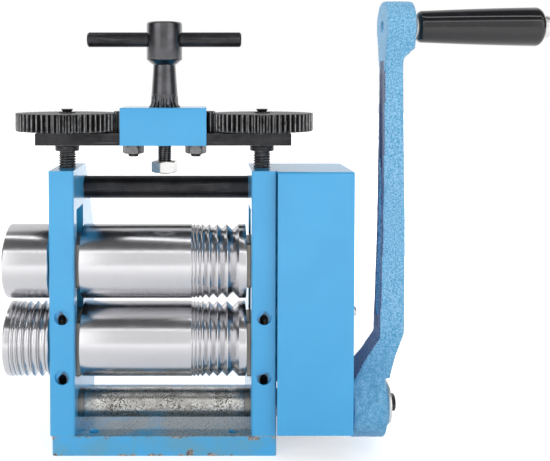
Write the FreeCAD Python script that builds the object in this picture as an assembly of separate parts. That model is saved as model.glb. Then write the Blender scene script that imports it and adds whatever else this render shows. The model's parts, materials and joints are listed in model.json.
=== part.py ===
import FreeCAD, Part
import math
import os
from FreeCAD import Vector

# Bench rolling mill for sheet and wire: two side frames on a base plate carry two rolls.
# A crank drives the rolls through a covered gear train, and a T handle sets the gap.
# Millimetres. X runs along the rolls to the crank, Y runs from front to back, Z is up.
# The origin lies on the base's underside, midway between the frames and front to back.

# Running fits and seats
running_gap = 0.05
slide_gap = 0.10
seat_gap = 0.10
cut_past = 1.0

# Base plate
base_depth = 90.0
base_height = 13.0
base_left_inset = 1.5
bench_hole_radius = 3.5
bench_hole_spacing_x = 93.0
bench_hole_spacing_y = 74.0
edge_chamfer = 1.0

# Side frames
frame_gap = 116.0
frame_thickness = 16.5
frame_height = 175.0
frame_top_depth = 53.0
frame_shoulder_drop = 50.0
window_width = 28.0
window_bottom = 47.0
window_top_margin = 27.0
window_corner = 2.0

# Rolls
roll_radius = 25.0
roll_length = 110.0
roll_axis_depth = 25.0
lower_roll_height = 70.6
roll_gap = 3.3
journal_radius = 11.0
stub_radius = 9.0
roll_end_chamfer = 0.6
v_groove_widths = [1.5, 2.0, 2.6, 4.0, 5.0, 6.0, 7.5]
v_groove_land = 0.5
v_groove_collar = 4.4

# Side rolls outside the left frame
side_roll_length = 30.8
side_roll_chamfer = 1.0
side_roll_recess = 3.0
round_groove_widths = [4.9, 4.5, 4.5, 3.5, 2.4, 2.0]
round_groove_land = 0.5
round_groove_collar = 2.1
round_groove_facets = 4
journal_standout = 0.7

# Bearing blocks and lift springs
block_flange_thickness = 2.4
block_flange_lip = 2.0
lower_block_rise = 17.4
upper_block_half_height = 17.0
spring_coil_radius = 4.6
spring_wire_radius = 0.8

# Crank shaft and its bushes
crank_axis_depth = 21.0
crank_axis_height = 27.5
crank_shaft_radius = 9.5
crank_journal_radius = 7.0
bush_radius = 9.0
bush_flange_thickness = 4.0
crank_shaft_left_standout = 1.0
crank_shaft_end_chamfer = 2.2

# Tie bar and frame screws
tie_bar_radius = 8.0
tie_bar_depth = 49.0
tie_bar_drop = 16.5
cap_screw_radius = 4.0
cap_head_radius = 6.5
cap_head_height = 8.0
counterbore_gap = 0.5
foot_screw_radius = 3.0
foot_head_radius = 5.0
foot_head_height = 6.0
foot_screw_depths = [7.5, 60.0]
foot_screw_reach = 20.0
tie_screw_reach = 16.0

# Oil holes in the frames' front edges
oil_hole_radius = 2.65
oil_pocket_radius = 4.9
oil_pocket_depth = 2.6
oil_hole_slope = 40.0
upper_oil_height = 91.7
lower_oil_height = 52.0

# Gear train inside the cover
pressure_angle = 25.0
roll_gear_teeth = 12
roll_gear_pitch_radius = 25.0
roll_gear_addendum = 3.5
roll_gear_root_gap = 0.4
roll_gear_width = 16.0
roll_gear_backlash = 0.6
train_module = 1.75
crank_pinion_teeth = 12
reduction_teeth = 30
transfer_teeth = 20
train_width = 10.0
train_backlash = 0.24
gear_side_gap = 1.0
stud_radius = 5.0
stud_shoulder_radius = 5.8
stud_embed = 12.0
retaining_ring_width = 1.3
retaining_ring_radius = 8.0
ring_groove_depth = 0.8
stud_end_length = 4.0
dedendum_share = 1.25
curved_flank_teeth = 25

# Keys
key_width = 5.0
key_height = 4.0
key_end_gap = 1.0
pinion_key_width = 3.0
pinion_key_rise = 0.9
arm_key_inset = 3.0
arm_key_length = 16.0
side_roll_key_inner_gap = 6.0
side_roll_key_outer_gap = 8.0
roll_gear_key_gap = 2.0

# Gear cover
cover_wall = 1.5
cover_front_stand = 6.0
cover_width = 49.5
cover_floor_height = 16.0
cover_shaft_hole_gap = 1.0
spacer_inset = 0.5
cover_bend_radius = 2.0
standoff_radius = 3.0
standoff_spigot_radius = 2.0
standoff_spigot_length = 3.0
front_standoff_depth = 3.0
rear_standoff_depth = 80.0
pan_head_radius = 3.6
pan_head_height = 3.0
pan_head_rim = 1.35
pan_head_crown_radius = 2.0
small_screw_radius = 2.0
small_screw_reach = 10.0

# Crossbar, screws and adjusting gears
crossbar_length = 169.0
crossbar_depth = 36.0
crossbar_thickness = 8.0
crossbar_rise = 16.0
screw_radius = 6.0
screw_neck_radius = 5.5
screw_neck_length = 3.0
screw_collar_radius = 8.15
screw_collar_height = 4.5
screw_stem_radius = 5.0
screw_drive_radius = 4.0
screw_drive_flats = 6.0
screw_tip_chamfer = 1.2
adjust_module = 1.25
adjust_gear_teeth = 53
idler_teeth = 19
pinion_teeth = 15
adjust_gear_width = 12.0
idler_width = 14.0
adjust_backlash = 0.22
gear_boss_radius = 9.0
gear_boss_height = 1.0
gear_washer_radius = 5.6
gear_washer_height = 0.8
gear_screw_head_radius = 3.9
gear_screw_head_height = 2.0
gear_screw_radius = 2.5
gear_screw_reach = 8.0
gear_screw_rim = 0.5

# Bridge cover and idler pins
bridge_cover_length = 57.0
bridge_cover_wall = 1.8
bridge_cover_height = 25.0
bridge_cover_bend = 1.1
idler_pin_radius = 4.0
idler_nut_flats = 13.0
idler_nut_height = 6.5
idler_pin_standout = 2.0

# T handle
hub_radius = 12.0
hub_height = 25.3
hub_rise = 74.3
hub_under_chamfer = 3.6
hub_top_chamfer = 0.8
neck_top_radius = 7.5
neck_foot_radius = 9.3
neck_flare_height = 2.0
flute_runout = 7.0
t_bar_radius = 5.0
t_bar_length = 104.0
t_bar_drop = 11.7
t_bar_chamfer = 1.0
spindle_radius = 5.0
spindle_nut_flats = 16.0
spindle_nut_height = 7.8
spindle_nut_drop = 11.6
spindle_end_standout = 0.8
spindle_nut_turn = 12.0

# Crank arm, hub and grip
crank_throw = 255.5
arm_cover_gap = 1.3
arm_hub_width = 25.1
arm_hub_radius = 22.0
arm_setout = 18.7
arm_stem_thickness = 17.0
arm_top_step = 4.5
arm_stem_width_low = 20.0
arm_stem_width_high = 17.0
arm_bend_start = 19.0
arm_bend_end = 47.0
arm_boss_radius = 17.0
arm_boss_width = 20.0
arm_bend_radius = 14.0
arm_bend_shift = 3.0
arm_neck_length = 12.0
arm_neck_blend = 18.0
arm_root_angle = 24.0
arm_edge_round = 2.0
arm_step_start = 4.0
arm_step_length = 10.0
arm_step_blend = 20.0
arm_recess_depth = 5.0
arm_recess_rim = 3.2
arm_recess_low = 60.0
arm_recess_high = 226.0
washer_radius = 14.0
washer_height = 2.0
bolt_flats = 10.0
bolt_head_height = 4.4
bolt_radius = 3.0
bolt_reach = 14.0
grip_gap = 1.5
grip_length = 83.0
grip_small_radius = 10.7
grip_large_radius = 13.1
grip_end_round = 3.0
grip_spindle_radius = 4.0
grip_shoulder_radius = 7.0
grip_head_radius = 7.7
grip_head_height = 5.4
grip_head_chamfer = 0.7
slot_width = 1.6
slot_depth = 1.6

# Places worked out from the sizes above
front = -base_depth / 2
back = base_depth / 2
frame_inner = frame_gap / 2
frame_outer = frame_inner + frame_thickness
frame_middle = frame_inner + frame_thickness / 2
frame_top = base_height + frame_height
frame_top_back = front + frame_top_depth
shoulder_height = frame_top - frame_shoulder_drop
window_top = frame_top - window_top_margin
tie_bar_height = frame_top - tie_bar_drop
roll_y = front + roll_axis_depth
upper_roll_height = lower_roll_height + 2 * roll_radius + roll_gap
crank_y = front + crank_axis_depth
tie_y = front + tie_bar_depth
roll_end = roll_length / 2
journal_end = frame_outer + journal_standout
block_inner = frame_inner - block_flange_thickness
roll_gear_start = journal_end
roll_gear_end = roll_gear_start + roll_gear_width
transfer_start = roll_gear_end + gear_side_gap
transfer_end = transfer_start + train_width
reduction_start = transfer_end + gear_side_gap
reduction_end = reduction_start + train_width
cover_end = frame_outer + cover_width
arm_hub_start = cover_end + arm_cover_gap
arm_stem_inner = arm_hub_start + arm_setout
arm_stem_outer = arm_stem_inner + arm_stem_thickness
arm_top_inner = arm_stem_inner + arm_top_step
arm_boss_end = arm_top_inner + arm_boss_width
grip_start = arm_boss_end + grip_gap
grip_end = grip_start + grip_length
crossbar_bottom = frame_top + crossbar_rise
crossbar_top = crossbar_bottom + crossbar_thickness
hub_top = crossbar_top + hub_rise
idler_x = adjust_module * (pinion_teeth + idler_teeth) / 2
handle_z = crank_axis_height + crank_throw
side_roll_end = journal_end + side_roll_length
side_roll_seat = side_roll_end - side_roll_recess
lower_block_top = lower_roll_height + lower_block_rise
upper_block_bottom = upper_roll_height - upper_block_half_height
upper_block_top = upper_roll_height + upper_block_half_height


def moved(shape, x=0.0, y=0.0, z=0.0):
    """Copy of a shape shifted by x, y, z."""
    copy = shape.copy()
    copy.translate(Vector(x, y, z))
    return copy


def rod_x(radius, start, end, y, z):
    """Round bar along X."""
    return Part.makeCylinder(radius, end - start, Vector(start, y, z), Vector(1, 0, 0))


def rod_z(radius, bottom, top, x, y):
    """Round bar along Z."""
    return Part.makeCylinder(radius, top - bottom, Vector(x, y, bottom), Vector(0, 0, 1))


def hole_x(radius, start, end, y, z):
    """Round cutter along X that runs past both faces."""
    return rod_x(radius, start - cut_past, end + cut_past, y, z)


def hole_z(radius, bottom, top, x, y):
    """Round cutter along Z that runs past both faces."""
    return rod_z(radius, bottom - cut_past, top + cut_past, x, y)


def block(x0, x1, y0, y1, z0, z1):
    """Rectangular block between two corners."""
    return Part.makeBox(x1 - x0, y1 - y0, z1 - z0, Vector(x0, y0, z0))


def mirrored_x(shape):
    """The same piece for the other side of the mill."""
    return shape.mirror(Vector(0, 0, 0), Vector(1, 0, 0))


def rounded_outline(corners, radius, place):
    """Closed wire through the corners, each rounded by an arc. place maps (a, b) to 3D."""
    edges = []
    ends = []
    count = len(corners)
    for index in range(count):
        here = Vector(corners[index][0], corners[index][1], 0)
        before = Vector(corners[index - 1][0], corners[index - 1][1], 0)
        after = Vector(corners[(index + 1) % count][0], corners[(index + 1) % count][1], 0)
        bend = corners[index][2] if len(corners[index]) > 2 else radius
        into = (before - here).normalize()
        out = (after - here).normalize()
        half = into.getAngle(out) / 2
        reach = bend / math.tan(half)
        middle = (into + out).normalize() * (bend / math.sin(half) - bend)
        ends.append((here + into * reach, here + middle, here + out * reach))
    for index in range(count):
        first, middle, last = [place(point.x, point.y) for point in ends[index]]
        if (last - first).Length > 1e-6:
            edges.append(Part.Arc(first, middle, last).toShape())
        following = place(ends[(index + 1) % count][0].x, ends[(index + 1) % count][0].y)
        if (following - last).Length > 1e-6:
            edges.append(Part.LineSegment(last, following).toShape())
    return Part.Wire(edges)


def plate_x(corners, radius, start, end):
    """Rounded YZ outline made solid from X = start to X = end."""
    wire = rounded_outline(corners, radius, lambda a, b: Vector(start, a, b))
    return Part.Face(wire).extrude(Vector(end - start, 0, 0))


def plate_y(corners, radius, start, end):
    """Rounded XZ outline made solid from Y = start to Y = end."""
    wire = rounded_outline(corners, radius, lambda a, b: Vector(a, start, b))
    return Part.Face(wire).extrude(Vector(0, end - start, 0))


def turned_x(profile, y, z):
    """Turned piece along X from (x, radius) points, the axis included."""
    points = [Vector(x, y, z + radius) for x, radius in profile]
    wire = Part.makePolygon(points + [points[0]])
    return Part.Face(wire).revolve(Vector(0, y, z), Vector(1, 0, 0), 360)


def turned_z(profile, x, y):
    """Turned piece along Z from (z, radius) points, the axis included."""
    points = [Vector(x + radius, y, z) for z, radius in profile]
    wire = Part.makePolygon(points + [points[0]])
    return Part.Face(wire).revolve(Vector(x, y, 0), Vector(0, 0, 1), 360)


def hexagon(flats, height, turn=0.0):
    """Hexagonal bar along Z on the origin."""
    radius = flats / math.sqrt(3)
    corners = []
    for step in range(6):
        angle = math.radians(60 * step + turn)
        corners.append(Vector(radius * math.cos(angle), radius * math.sin(angle), 0))
    return Part.Face(Part.makePolygon(corners + [corners[0]])).extrude(Vector(0, 0, height))


def along_x(shape, x, y, z):
    """Turn a piece built along Z to lie along X and place it."""
    turned = shape.copy()
    turned.rotate(Vector(0, 0, 0), Vector(0, 1, 0), 90)
    turned.translate(Vector(x, y, z))
    return turned


def gear(teeth, module, width, addendum, dedendum, backlash, phase=0.0):
    """Spur gear along Z with involute flanks. phase is the angle of one tooth's middle."""
    pitch = teeth * module / 2
    tip = pitch + addendum
    root = pitch - dedendum
    base = pitch * math.cos(math.radians(pressure_angle))
    half_pitch_angle = (math.pi * module / 2 - backlash) / (2 * pitch)

    def involute(radius):
        turn = math.sqrt(max(0.0, (radius / base) ** 2 - 1))
        return turn - math.atan(turn)

    start = max(root, base)
    radii = [root, tip]
    if teeth < curved_flank_teeth:
        radii.insert(1, (start + tip) / 2)
    if base > root + running_gap:
        radii.insert(1, base)
    flank = [(radius, half_pitch_angle + involute(pitch) - involute(radius)) for radius in radii]
    points = []
    for tooth in range(teeth):
        centre = math.radians(phase) + 2 * math.pi * tooth / teeth
        for radius, half in flank:
            points.append(Vector(radius * math.cos(centre - half), radius * math.sin(centre - half), 0))
        for radius, half in reversed(flank):
            points.append(Vector(radius * math.cos(centre + half), radius * math.sin(centre + half), 0))
    return Part.Face(Part.makePolygon(points + [points[0]])).extrude(Vector(0, 0, width))


def gear_x(blank, start, y, z):
    """Lay a gear along X. Its angle then runs from +Y towards +Z."""
    turned = blank.copy()
    turned.rotate(Vector(0, 0, 0), Vector(1, 1, 1), 120)
    turned.translate(Vector(start, y, z))
    return turned


def stud_place():
    """Centre of the reduction stud, in mesh with the crank pinion and the lower roll's gear."""
    to_crank = train_module * (crank_pinion_teeth + reduction_teeth) / 2
    to_roll = train_module * transfer_teeth
    run = roll_y - crank_y
    rise = lower_roll_height - crank_axis_height
    span = math.hypot(run, rise)
    along = (to_crank ** 2 - to_roll ** 2 + span ** 2) / (2 * span)
    aside = math.sqrt(to_crank ** 2 - along ** 2)
    y = crank_y + (run * along + rise * aside) / span
    z = crank_axis_height + (rise * along - run * aside) / span
    return y, z


stud_y, stud_z = stud_place()


def oil_drilling(x, height, end_depth):
    """Slanting oil hole with a round pocket, drilled from the frame's front edge."""
    slope = math.radians(oil_hole_slope)
    heading = Vector(0, math.cos(slope), -math.sin(slope))
    mouth = Vector(x, front, height)
    length = end_depth / math.cos(slope)
    hole = Part.makeCylinder(oil_hole_radius, length, mouth, heading)
    pocket = Part.makeCylinder(oil_pocket_radius, 2 * oil_pocket_depth,
                               Vector(x, front - oil_pocket_depth, height), Vector(0, 1, 0))
    return hole, pocket


def oil_cuts():
    """All oil holes, for the right side: to the lower roll's block and to the crank bush."""
    roll_depth = roll_axis_depth - journal_radius / 2
    roll_hole, roll_pocket = oil_drilling(frame_middle, upper_oil_height, roll_depth)
    bush_hole, bush_pocket = oil_drilling(frame_middle, lower_oil_height, crank_axis_depth)
    return [roll_hole, roll_pocket, bush_hole, bush_pocket]


def base_plate():
    """Flat plate with four bench holes and counterbores for the foot screws."""
    left = -(frame_outer - base_left_inset)
    plate = block(left, frame_outer, front, back, 0, base_height)
    edges = [e for e in plate.Edges if abs(e.BoundBox.ZLength - base_height) < 0.01]
    plate = plate.makeChamfer(edge_chamfer, edges)
    for x in (-bench_hole_spacing_x / 2, bench_hole_spacing_x / 2):
        for y in (-bench_hole_spacing_y / 2, bench_hole_spacing_y / 2):
            plate = plate.cut(hole_z(bench_hole_radius, 0, base_height, x, y))
    seat = foot_head_height + counterbore_gap
    for x in (-frame_middle, frame_middle):
        for depth in foot_screw_depths:
            y = front + depth
            plate = plate.cut(hole_z(foot_screw_radius, 0, base_height, x, y))
            plate = plate.cut(rod_z(foot_head_radius + counterbore_gap, -cut_past, seat, x, y))
    return plate


def cap_screw(radius, head_radius, head_height, reach):
    """Cap screw pointing up from the underside of its head, head below z = 0."""
    head = Part.makeCylinder(head_radius, head_height, Vector(0, 0, -head_height))
    shank = Part.makeCylinder(radius, reach)
    return head.fuse(shank).removeSplitter()


def foot_screws():
    """Four screws up through the base into the side frames."""
    seat = foot_head_height + counterbore_gap
    screw = cap_screw(foot_screw_radius, foot_head_radius, foot_head_height,
                      base_height - seat + foot_screw_reach)
    screws = []
    for x in (-frame_middle, frame_middle):
        for depth in foot_screw_depths:
            screws.append(moved(screw, x, front + depth, seat))
    return Part.makeCompound(screws)


def tie_bar():
    """Round spacer bar between the frames near their tops."""
    bar = rod_x(tie_bar_radius, -frame_inner, frame_inner, tie_y, tie_bar_height)
    for side in (-1, 1):
        start = side * frame_inner
        inner = side * (frame_inner - tie_screw_reach)
        bar = bar.cut(rod_x(cap_screw_radius, min(start, inner), max(start, inner), tie_y, tie_bar_height))
    return bar


def tie_bar_screws():
    """Two screws through the frames into the tie bar's ends."""
    seat = frame_outer - cap_head_height - counterbore_gap
    right = cap_screw(cap_screw_radius, cap_head_radius, cap_head_height,
                      seat - frame_inner + tie_screw_reach)
    right.rotate(Vector(0, 0, 0), Vector(0, 1, 0), -90)
    right.translate(Vector(seat, tie_y, tie_bar_height))
    return Part.makeCompound([mirrored_x(right), right])


def right_side_frame():
    """Upright plate with a sloped rear shoulder, a bearing window and a threaded top."""
    outline = [(front, base_height), (back, base_height), (back, shoulder_height),
               (frame_top_back, frame_top), (front, frame_top)]
    plate = plate_x(outline, 0.0, frame_inner, frame_outer)
    front_edges = [e for e in plate.Edges
                   if abs(e.CenterOfMass.y - front) < 0.01 and e.BoundBox.ZLength > frame_height / 2]
    plate = plate.makeChamfer(edge_chamfer, front_edges)
    half = window_width / 2
    window = [(roll_y - half, window_bottom), (roll_y + half, window_bottom),
              (roll_y + half, window_top), (roll_y - half, window_top)]
    plate = plate.cut(plate_x(window, window_corner, frame_inner - cut_past, frame_outer + cut_past))
    plate = plate.cut(hole_z(screw_radius + running_gap, window_top, frame_top, frame_middle, roll_y))
    plate = plate.cut(hole_x(bush_radius, frame_inner, frame_outer, crank_y, crank_axis_height))
    plate = plate.cut(hole_x(cap_screw_radius, frame_inner, frame_outer, tie_y, tie_bar_height))
    seat = frame_outer - cap_head_height - counterbore_gap
    bore = cap_head_radius + counterbore_gap
    plate = plate.cut(rod_x(bore, seat, frame_outer + cut_past, tie_y, tie_bar_height))
    low = base_height - cut_past
    top = base_height + foot_screw_reach
    for depth in foot_screw_depths:
        plate = plate.cut(rod_z(foot_screw_radius, low, top, frame_middle, front + depth))
    for cutter in oil_cuts():
        plate = plate.cut(cutter)
    return plate


def drive_side_holes(plate):
    """Seats for the reduction stud and the cover's standoffs in the right frame only."""
    plate = plate.cut(rod_x(stud_radius, frame_outer - stud_embed, frame_outer + cut_past, stud_y, stud_z))
    for y, z in standoff_places():
        start = frame_outer - standoff_spigot_length
        plate = plate.cut(rod_x(standoff_spigot_radius, start, frame_outer + cut_past, y, z))
    return plate


def standoff_places():
    """Front and rear standoffs at the height midway between the two roll gears."""
    height = (lower_roll_height + upper_roll_height) / 2 - roll_gap / 2
    return [(front + front_standoff_depth, height), (front + rear_standoff_depth, height)]


def bearing_block(axis_z, bottom, top, side_gap):
    """Bronze block for the right window, with a lip on the inner side of the frame."""
    half = window_width / 2
    body = plate_x([(roll_y - half + side_gap, bottom), (roll_y + half - side_gap, bottom),
                    (roll_y + half - side_gap, top), (roll_y - half + side_gap, top)],
                   window_corner, frame_inner - slide_gap, frame_outer)
    lip = plate_x([(roll_y - half - block_flange_lip, bottom + window_corner),
                   (roll_y + half + block_flange_lip, bottom + window_corner),
                   (roll_y + half + block_flange_lip, top - window_corner),
                   (roll_y - half - block_flange_lip, top - window_corner)],
                  window_corner, block_inner, frame_inner - slide_gap)
    bore = hole_x(journal_radius + running_gap, block_inner, frame_outer, roll_y, axis_z)
    return body.fuse(lip).cut(bore).removeSplitter()


def lower_bearing():
    """Fixed block at the foot of the window, with the oil hole leading into its bore."""
    shape = bearing_block(lower_roll_height, window_bottom, lower_block_top, 0.0)
    return shape.cut(oil_cuts()[0])


def upper_bearing():
    """Sliding block under the pressure screw."""
    return bearing_block(upper_roll_height, upper_block_bottom, upper_block_top, slide_gap)


def lift_spring():
    """Compression spring between the two blocks of one frame, as the tube that its coils fill."""
    bottom = lower_block_top + seat_gap
    top = upper_block_bottom - seat_gap
    outer = rod_z(spring_coil_radius + spring_wire_radius, bottom, top, frame_middle, roll_y)
    return outer.cut(hole_z(spring_coil_radius - spring_wire_radius, bottom, top, frame_middle, roll_y))


def crank_bush():
    """Flanged bush pressed into the frame from the inside."""
    body = rod_x(bush_radius, frame_inner, frame_outer, crank_y, crank_axis_height)
    flange = rod_x(crank_shaft_radius, frame_inner - bush_flange_thickness, frame_inner,
                   crank_y, crank_axis_height)
    bore = rod_x(crank_journal_radius + running_gap, frame_inner - bush_flange_thickness - 1,
                 frame_outer + cut_past, crank_y, crank_axis_height)
    return body.fuse(flange).cut(bore).cut(oil_cuts()[2])


def crank_shaft():
    """Turned shaft with a thick middle, two journals and the crank's seat on the right."""
    middle_end = frame_inner - bush_flange_thickness - slide_gap
    left = -(frame_outer + crank_shaft_left_standout)
    right = arm_hub_start + arm_hub_width - washer_height
    tip = crank_journal_radius - crank_shaft_end_chamfer
    shaft = turned_x([(left, 0), (left, tip), (left + crank_shaft_end_chamfer, crank_journal_radius),
                      (-middle_end, crank_journal_radius), (-middle_end, crank_shaft_radius),
                      (middle_end, crank_shaft_radius), (middle_end, crank_journal_radius),
                      (right, crank_journal_radius), (right, 0)], crank_y, crank_axis_height)
    shaft = shaft.cut(rod_x(bolt_radius, right - bolt_reach, right + cut_past, crank_y, crank_axis_height))
    for key in crank_key_blocks():
        shaft = shaft.cut(key)
    return shaft


def crank_key_blocks():
    """Keys under the crank pinion and in the crank's hub."""
    seat = crank_axis_height + crank_journal_radius
    low = seat - key_height / 2
    half = pinion_key_width / 2
    pinion_key = block(reduction_start + key_end_gap, reduction_end - key_end_gap,
                       crank_y - half, crank_y + half, low, seat + pinion_key_rise)
    half = key_width / 2
    start = arm_hub_start + arm_key_inset
    arm_key = block(start, start + arm_key_length, crank_y - half, crank_y + half, low, low + key_height)
    return [pinion_key, arm_key]


def mesh_angle(from_y, from_z, to_y, to_z):
    """Direction from one shaft to another, in degrees from +Y towards +Z."""
    return math.degrees(math.atan2(to_z - from_z, to_y - from_y))


def train_gear(teeth, phase):
    """Gear of the covered reduction train."""
    return gear(teeth, train_module, train_width, train_module,
                dedendum_share * train_module, train_backlash, phase)


def crank_pinion():
    """Pinion on the crank shaft."""
    phase = mesh_angle(crank_y, crank_axis_height, stud_y, stud_z)
    blank = gear_x(train_gear(crank_pinion_teeth, phase), reduction_start, crank_y, crank_axis_height)
    blank = blank.cut(hole_x(crank_journal_radius, reduction_start, reduction_end,
                            crank_y, crank_axis_height))
    return blank.cut(crank_key_blocks()[0])


def reduction_gear():
    """Cluster of a large and a small gear that turns on the rear stud."""
    to_crank = mesh_angle(stud_y, stud_z, crank_y, crank_axis_height)
    to_roll = mesh_angle(stud_y, stud_z, roll_y, lower_roll_height)
    large = train_gear(reduction_teeth, to_crank + 180.0 / reduction_teeth)
    large = gear_x(large, reduction_start, stud_y, stud_z)
    small = gear_x(train_gear(transfer_teeth, to_roll), transfer_start, stud_y, stud_z)
    neck_radius = train_module * (transfer_teeth / 2 - 2)
    neck = rod_x(neck_radius, transfer_end, reduction_start, stud_y, stud_z)
    bore = hole_x(stud_radius + running_gap, transfer_start, reduction_end, stud_y, stud_z)
    return large.fuse([small, neck]).cut(bore)


def reduction_stud():
    """Shouldered stud fixed in the right frame, grooved for its retaining ring."""
    end = reduction_end + stud_end_length
    stud = rod_x(stud_radius, frame_outer - stud_embed, end, stud_y, stud_z)
    shoulder = rod_x(stud_shoulder_radius, frame_outer, transfer_start - slide_gap, stud_y, stud_z)
    groove = ring_tube(stud_radius - ring_groove_depth, stud_radius + cut_past)
    return stud.fuse(shoulder).cut(groove)


def ring_tube(inner, outer):
    """Ring round the stud, just outside the large gear."""
    start = reduction_end + 2 * slide_gap
    tube = rod_x(outer, start, start + retaining_ring_width, stud_y, stud_z)
    return tube.cut(hole_x(inner, start, start + retaining_ring_width, stud_y, stud_z))


def stud_retaining_ring():
    """Open spring ring in the stud's groove."""
    ring = ring_tube(stud_radius - ring_groove_depth, retaining_ring_radius)
    half = stud_radius - 2 * ring_groove_depth
    return ring.cut(block(reduction_end, reduction_end + stud_end_length, stud_y - half, stud_y + half,
                          stud_z, stud_z + 2 * retaining_ring_radius))


def groove_profile():
    """Radius profile of the roll body, plain on the left and with V grooves on the right."""
    points = [(-roll_end, roll_radius - roll_end_chamfer), (-roll_end + roll_end_chamfer, roll_radius)]
    used = sum(v_groove_widths) + v_groove_land * len(v_groove_widths) + v_groove_collar
    x = roll_end - used
    for width in v_groove_widths:
        points.append((x, roll_radius))
        points.append((x + width / 2, roll_radius - width / 2))
        points.append((x + width, roll_radius))
        x += width + v_groove_land
    points.append((roll_end - roll_end_chamfer, roll_radius))
    points.append((roll_end, roll_radius - roll_end_chamfer))
    return points


def roll(axis_z, right_steps):
    """Roll with its journals, the side roll's stub on the left and the gear seat on the right."""
    left = -side_roll_seat
    profile = [(left, 0), (left, stub_radius), (-journal_end, stub_radius), (-journal_end, journal_radius),
               (-roll_end, journal_radius)]
    profile += groove_profile()
    profile += [(roll_end, journal_radius), (journal_end, journal_radius)]
    profile += right_steps
    profile.append((right_steps[-1][0], 0))
    shape = turned_x(profile, roll_y, axis_z)
    shape = shape.cut(rod_x(bolt_radius, left - cut_past, left + bolt_reach, roll_y, axis_z))
    end = right_steps[-1][0]
    return shape.cut(rod_x(bolt_radius, end - bolt_reach, end + cut_past, roll_y, axis_z))


def roll_key(start, end, axis_z, radius):
    """Parallel key half sunk in a stub of the given radius, on its rear side."""
    low = roll_y + radius - key_height / 2
    return block(start, end, low, low + key_height, axis_z - key_width / 2, axis_z + key_width / 2)


def side_roll_key(axis_z):
    """Key of a side roll."""
    return roll_key(-(side_roll_end - side_roll_key_outer_gap), -(journal_end + side_roll_key_inner_gap),
                    axis_z, stub_radius)


def roll_gear_key(axis_z):
    """Key of a roll gear."""
    start = roll_gear_start + roll_gear_key_gap
    end = roll_gear_end - roll_gear_key_gap
    return roll_key(start, end, axis_z, stub_radius)


def transfer_key():
    """Key of the lower roll's drive gear."""
    return roll_key(transfer_start + key_end_gap, transfer_end - washer_height - key_end_gap,
                    lower_roll_height, crank_journal_radius)


def lower_roll_keys():
    """Three keys of the lower roll."""
    keys = [side_roll_key(lower_roll_height), roll_gear_key(lower_roll_height), transfer_key()]
    return Part.makeCompound(keys)


def upper_roll_keys():
    """Two keys of the upper roll."""
    return Part.makeCompound([side_roll_key(upper_roll_height), roll_gear_key(upper_roll_height)])


def lower_roll():
    """Lower roll, stepped on the right for its two gears."""
    seat = transfer_end - washer_height
    steps = [(journal_end, stub_radius), (roll_gear_end, stub_radius),
             (roll_gear_end, crank_journal_radius), (seat, crank_journal_radius)]
    shape = roll(lower_roll_height, steps)
    return shape.cut(lower_roll_keys())


def upper_roll():
    """Upper roll, with one gear on the right."""
    steps = [(journal_end, stub_radius), (roll_gear_end, stub_radius)]
    return roll(upper_roll_height, steps).cut(upper_roll_keys())


def roll_gear(axis_z, phase):
    """Coarse gear that keeps the two rolls in step at any gap."""
    blank = gear(roll_gear_teeth, 2 * roll_gear_pitch_radius / roll_gear_teeth, roll_gear_width,
                 roll_gear_addendum, roll_gear_addendum + roll_gear_root_gap, roll_gear_backlash, phase)
    placed = gear_x(blank, roll_gear_start, roll_y, axis_z)
    placed = placed.cut(hole_x(stub_radius, roll_gear_start, roll_gear_end, roll_y, axis_z))
    return placed.cut(roll_gear_key(axis_z))


def lower_drive_gear():
    """Gear on the lower roll driven by the reduction cluster, recessed for its washer."""
    phase = mesh_angle(roll_y, lower_roll_height, stud_y, stud_z) + 180.0 / transfer_teeth
    blank = gear_x(train_gear(transfer_teeth, phase), transfer_start, roll_y, lower_roll_height)
    spacer = rod_x(stub_radius, roll_gear_end, transfer_start, roll_y, lower_roll_height)
    blank = blank.fuse(spacer)
    blank = blank.cut(hole_x(crank_journal_radius, roll_gear_end, transfer_end,
                            roll_y, lower_roll_height))
    blank = blank.cut(rod_x(stub_radius, transfer_end - washer_height, transfer_end + cut_past,
                            roll_y, lower_roll_height))
    return blank.cut(transfer_key())


def round_groove_profile(start):
    """Radius profile of the half round wire grooves, from start towards -X."""
    points = []
    x = start
    for width in round_groove_widths:
        for step in range(round_groove_facets + 1):
            angle = math.pi * step / round_groove_facets
            along = width / 2 * (1 - math.cos(angle))
            points.append((x - along, roll_radius - width / 2 * math.sin(angle)))
        x -= width + round_groove_land
    return points


def side_roll(axis_z, grooved):
    """Outboard roll for wire, keyed on the roll's left stub, recessed for its washer."""
    inner = -journal_end
    outer = -side_roll_end
    points = [(inner, roll_radius - side_roll_chamfer), (inner - side_roll_chamfer, roll_radius)]
    if grooved:
        points += round_groove_profile(inner - round_groove_collar)
    points += [(outer + side_roll_chamfer, roll_radius), (outer, roll_radius - side_roll_chamfer)]
    shape = turned_x([(inner, 0)] + points + [(outer, 0)], roll_y, axis_z)
    shape = shape.cut(hole_x(stub_radius, outer, inner, roll_y, axis_z))
    shape = shape.cut(rod_x(washer_radius, outer - cut_past, -side_roll_seat, roll_y, axis_z))
    return shape.cut(side_roll_key(axis_z))


def end_screw_left(axis_z):
    """Washer and hexagon screw that hold a side roll on its stub."""
    seat = -side_roll_seat
    washer = rod_x(washer_radius - seat_gap, seat - washer_height, seat, roll_y, axis_z)
    head = along_x(hexagon(bolt_flats, bolt_head_height), 0, roll_y, axis_z)
    head = mirrored_x(head)
    head.translate(Vector(seat - washer_height, 0, 0))
    shank = rod_x(bolt_radius, seat - washer_height, seat + bolt_reach, roll_y, axis_z)
    washer = washer.cut(shank)
    return Part.makeCompound([washer, head.fuse(shank).removeSplitter()])


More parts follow.
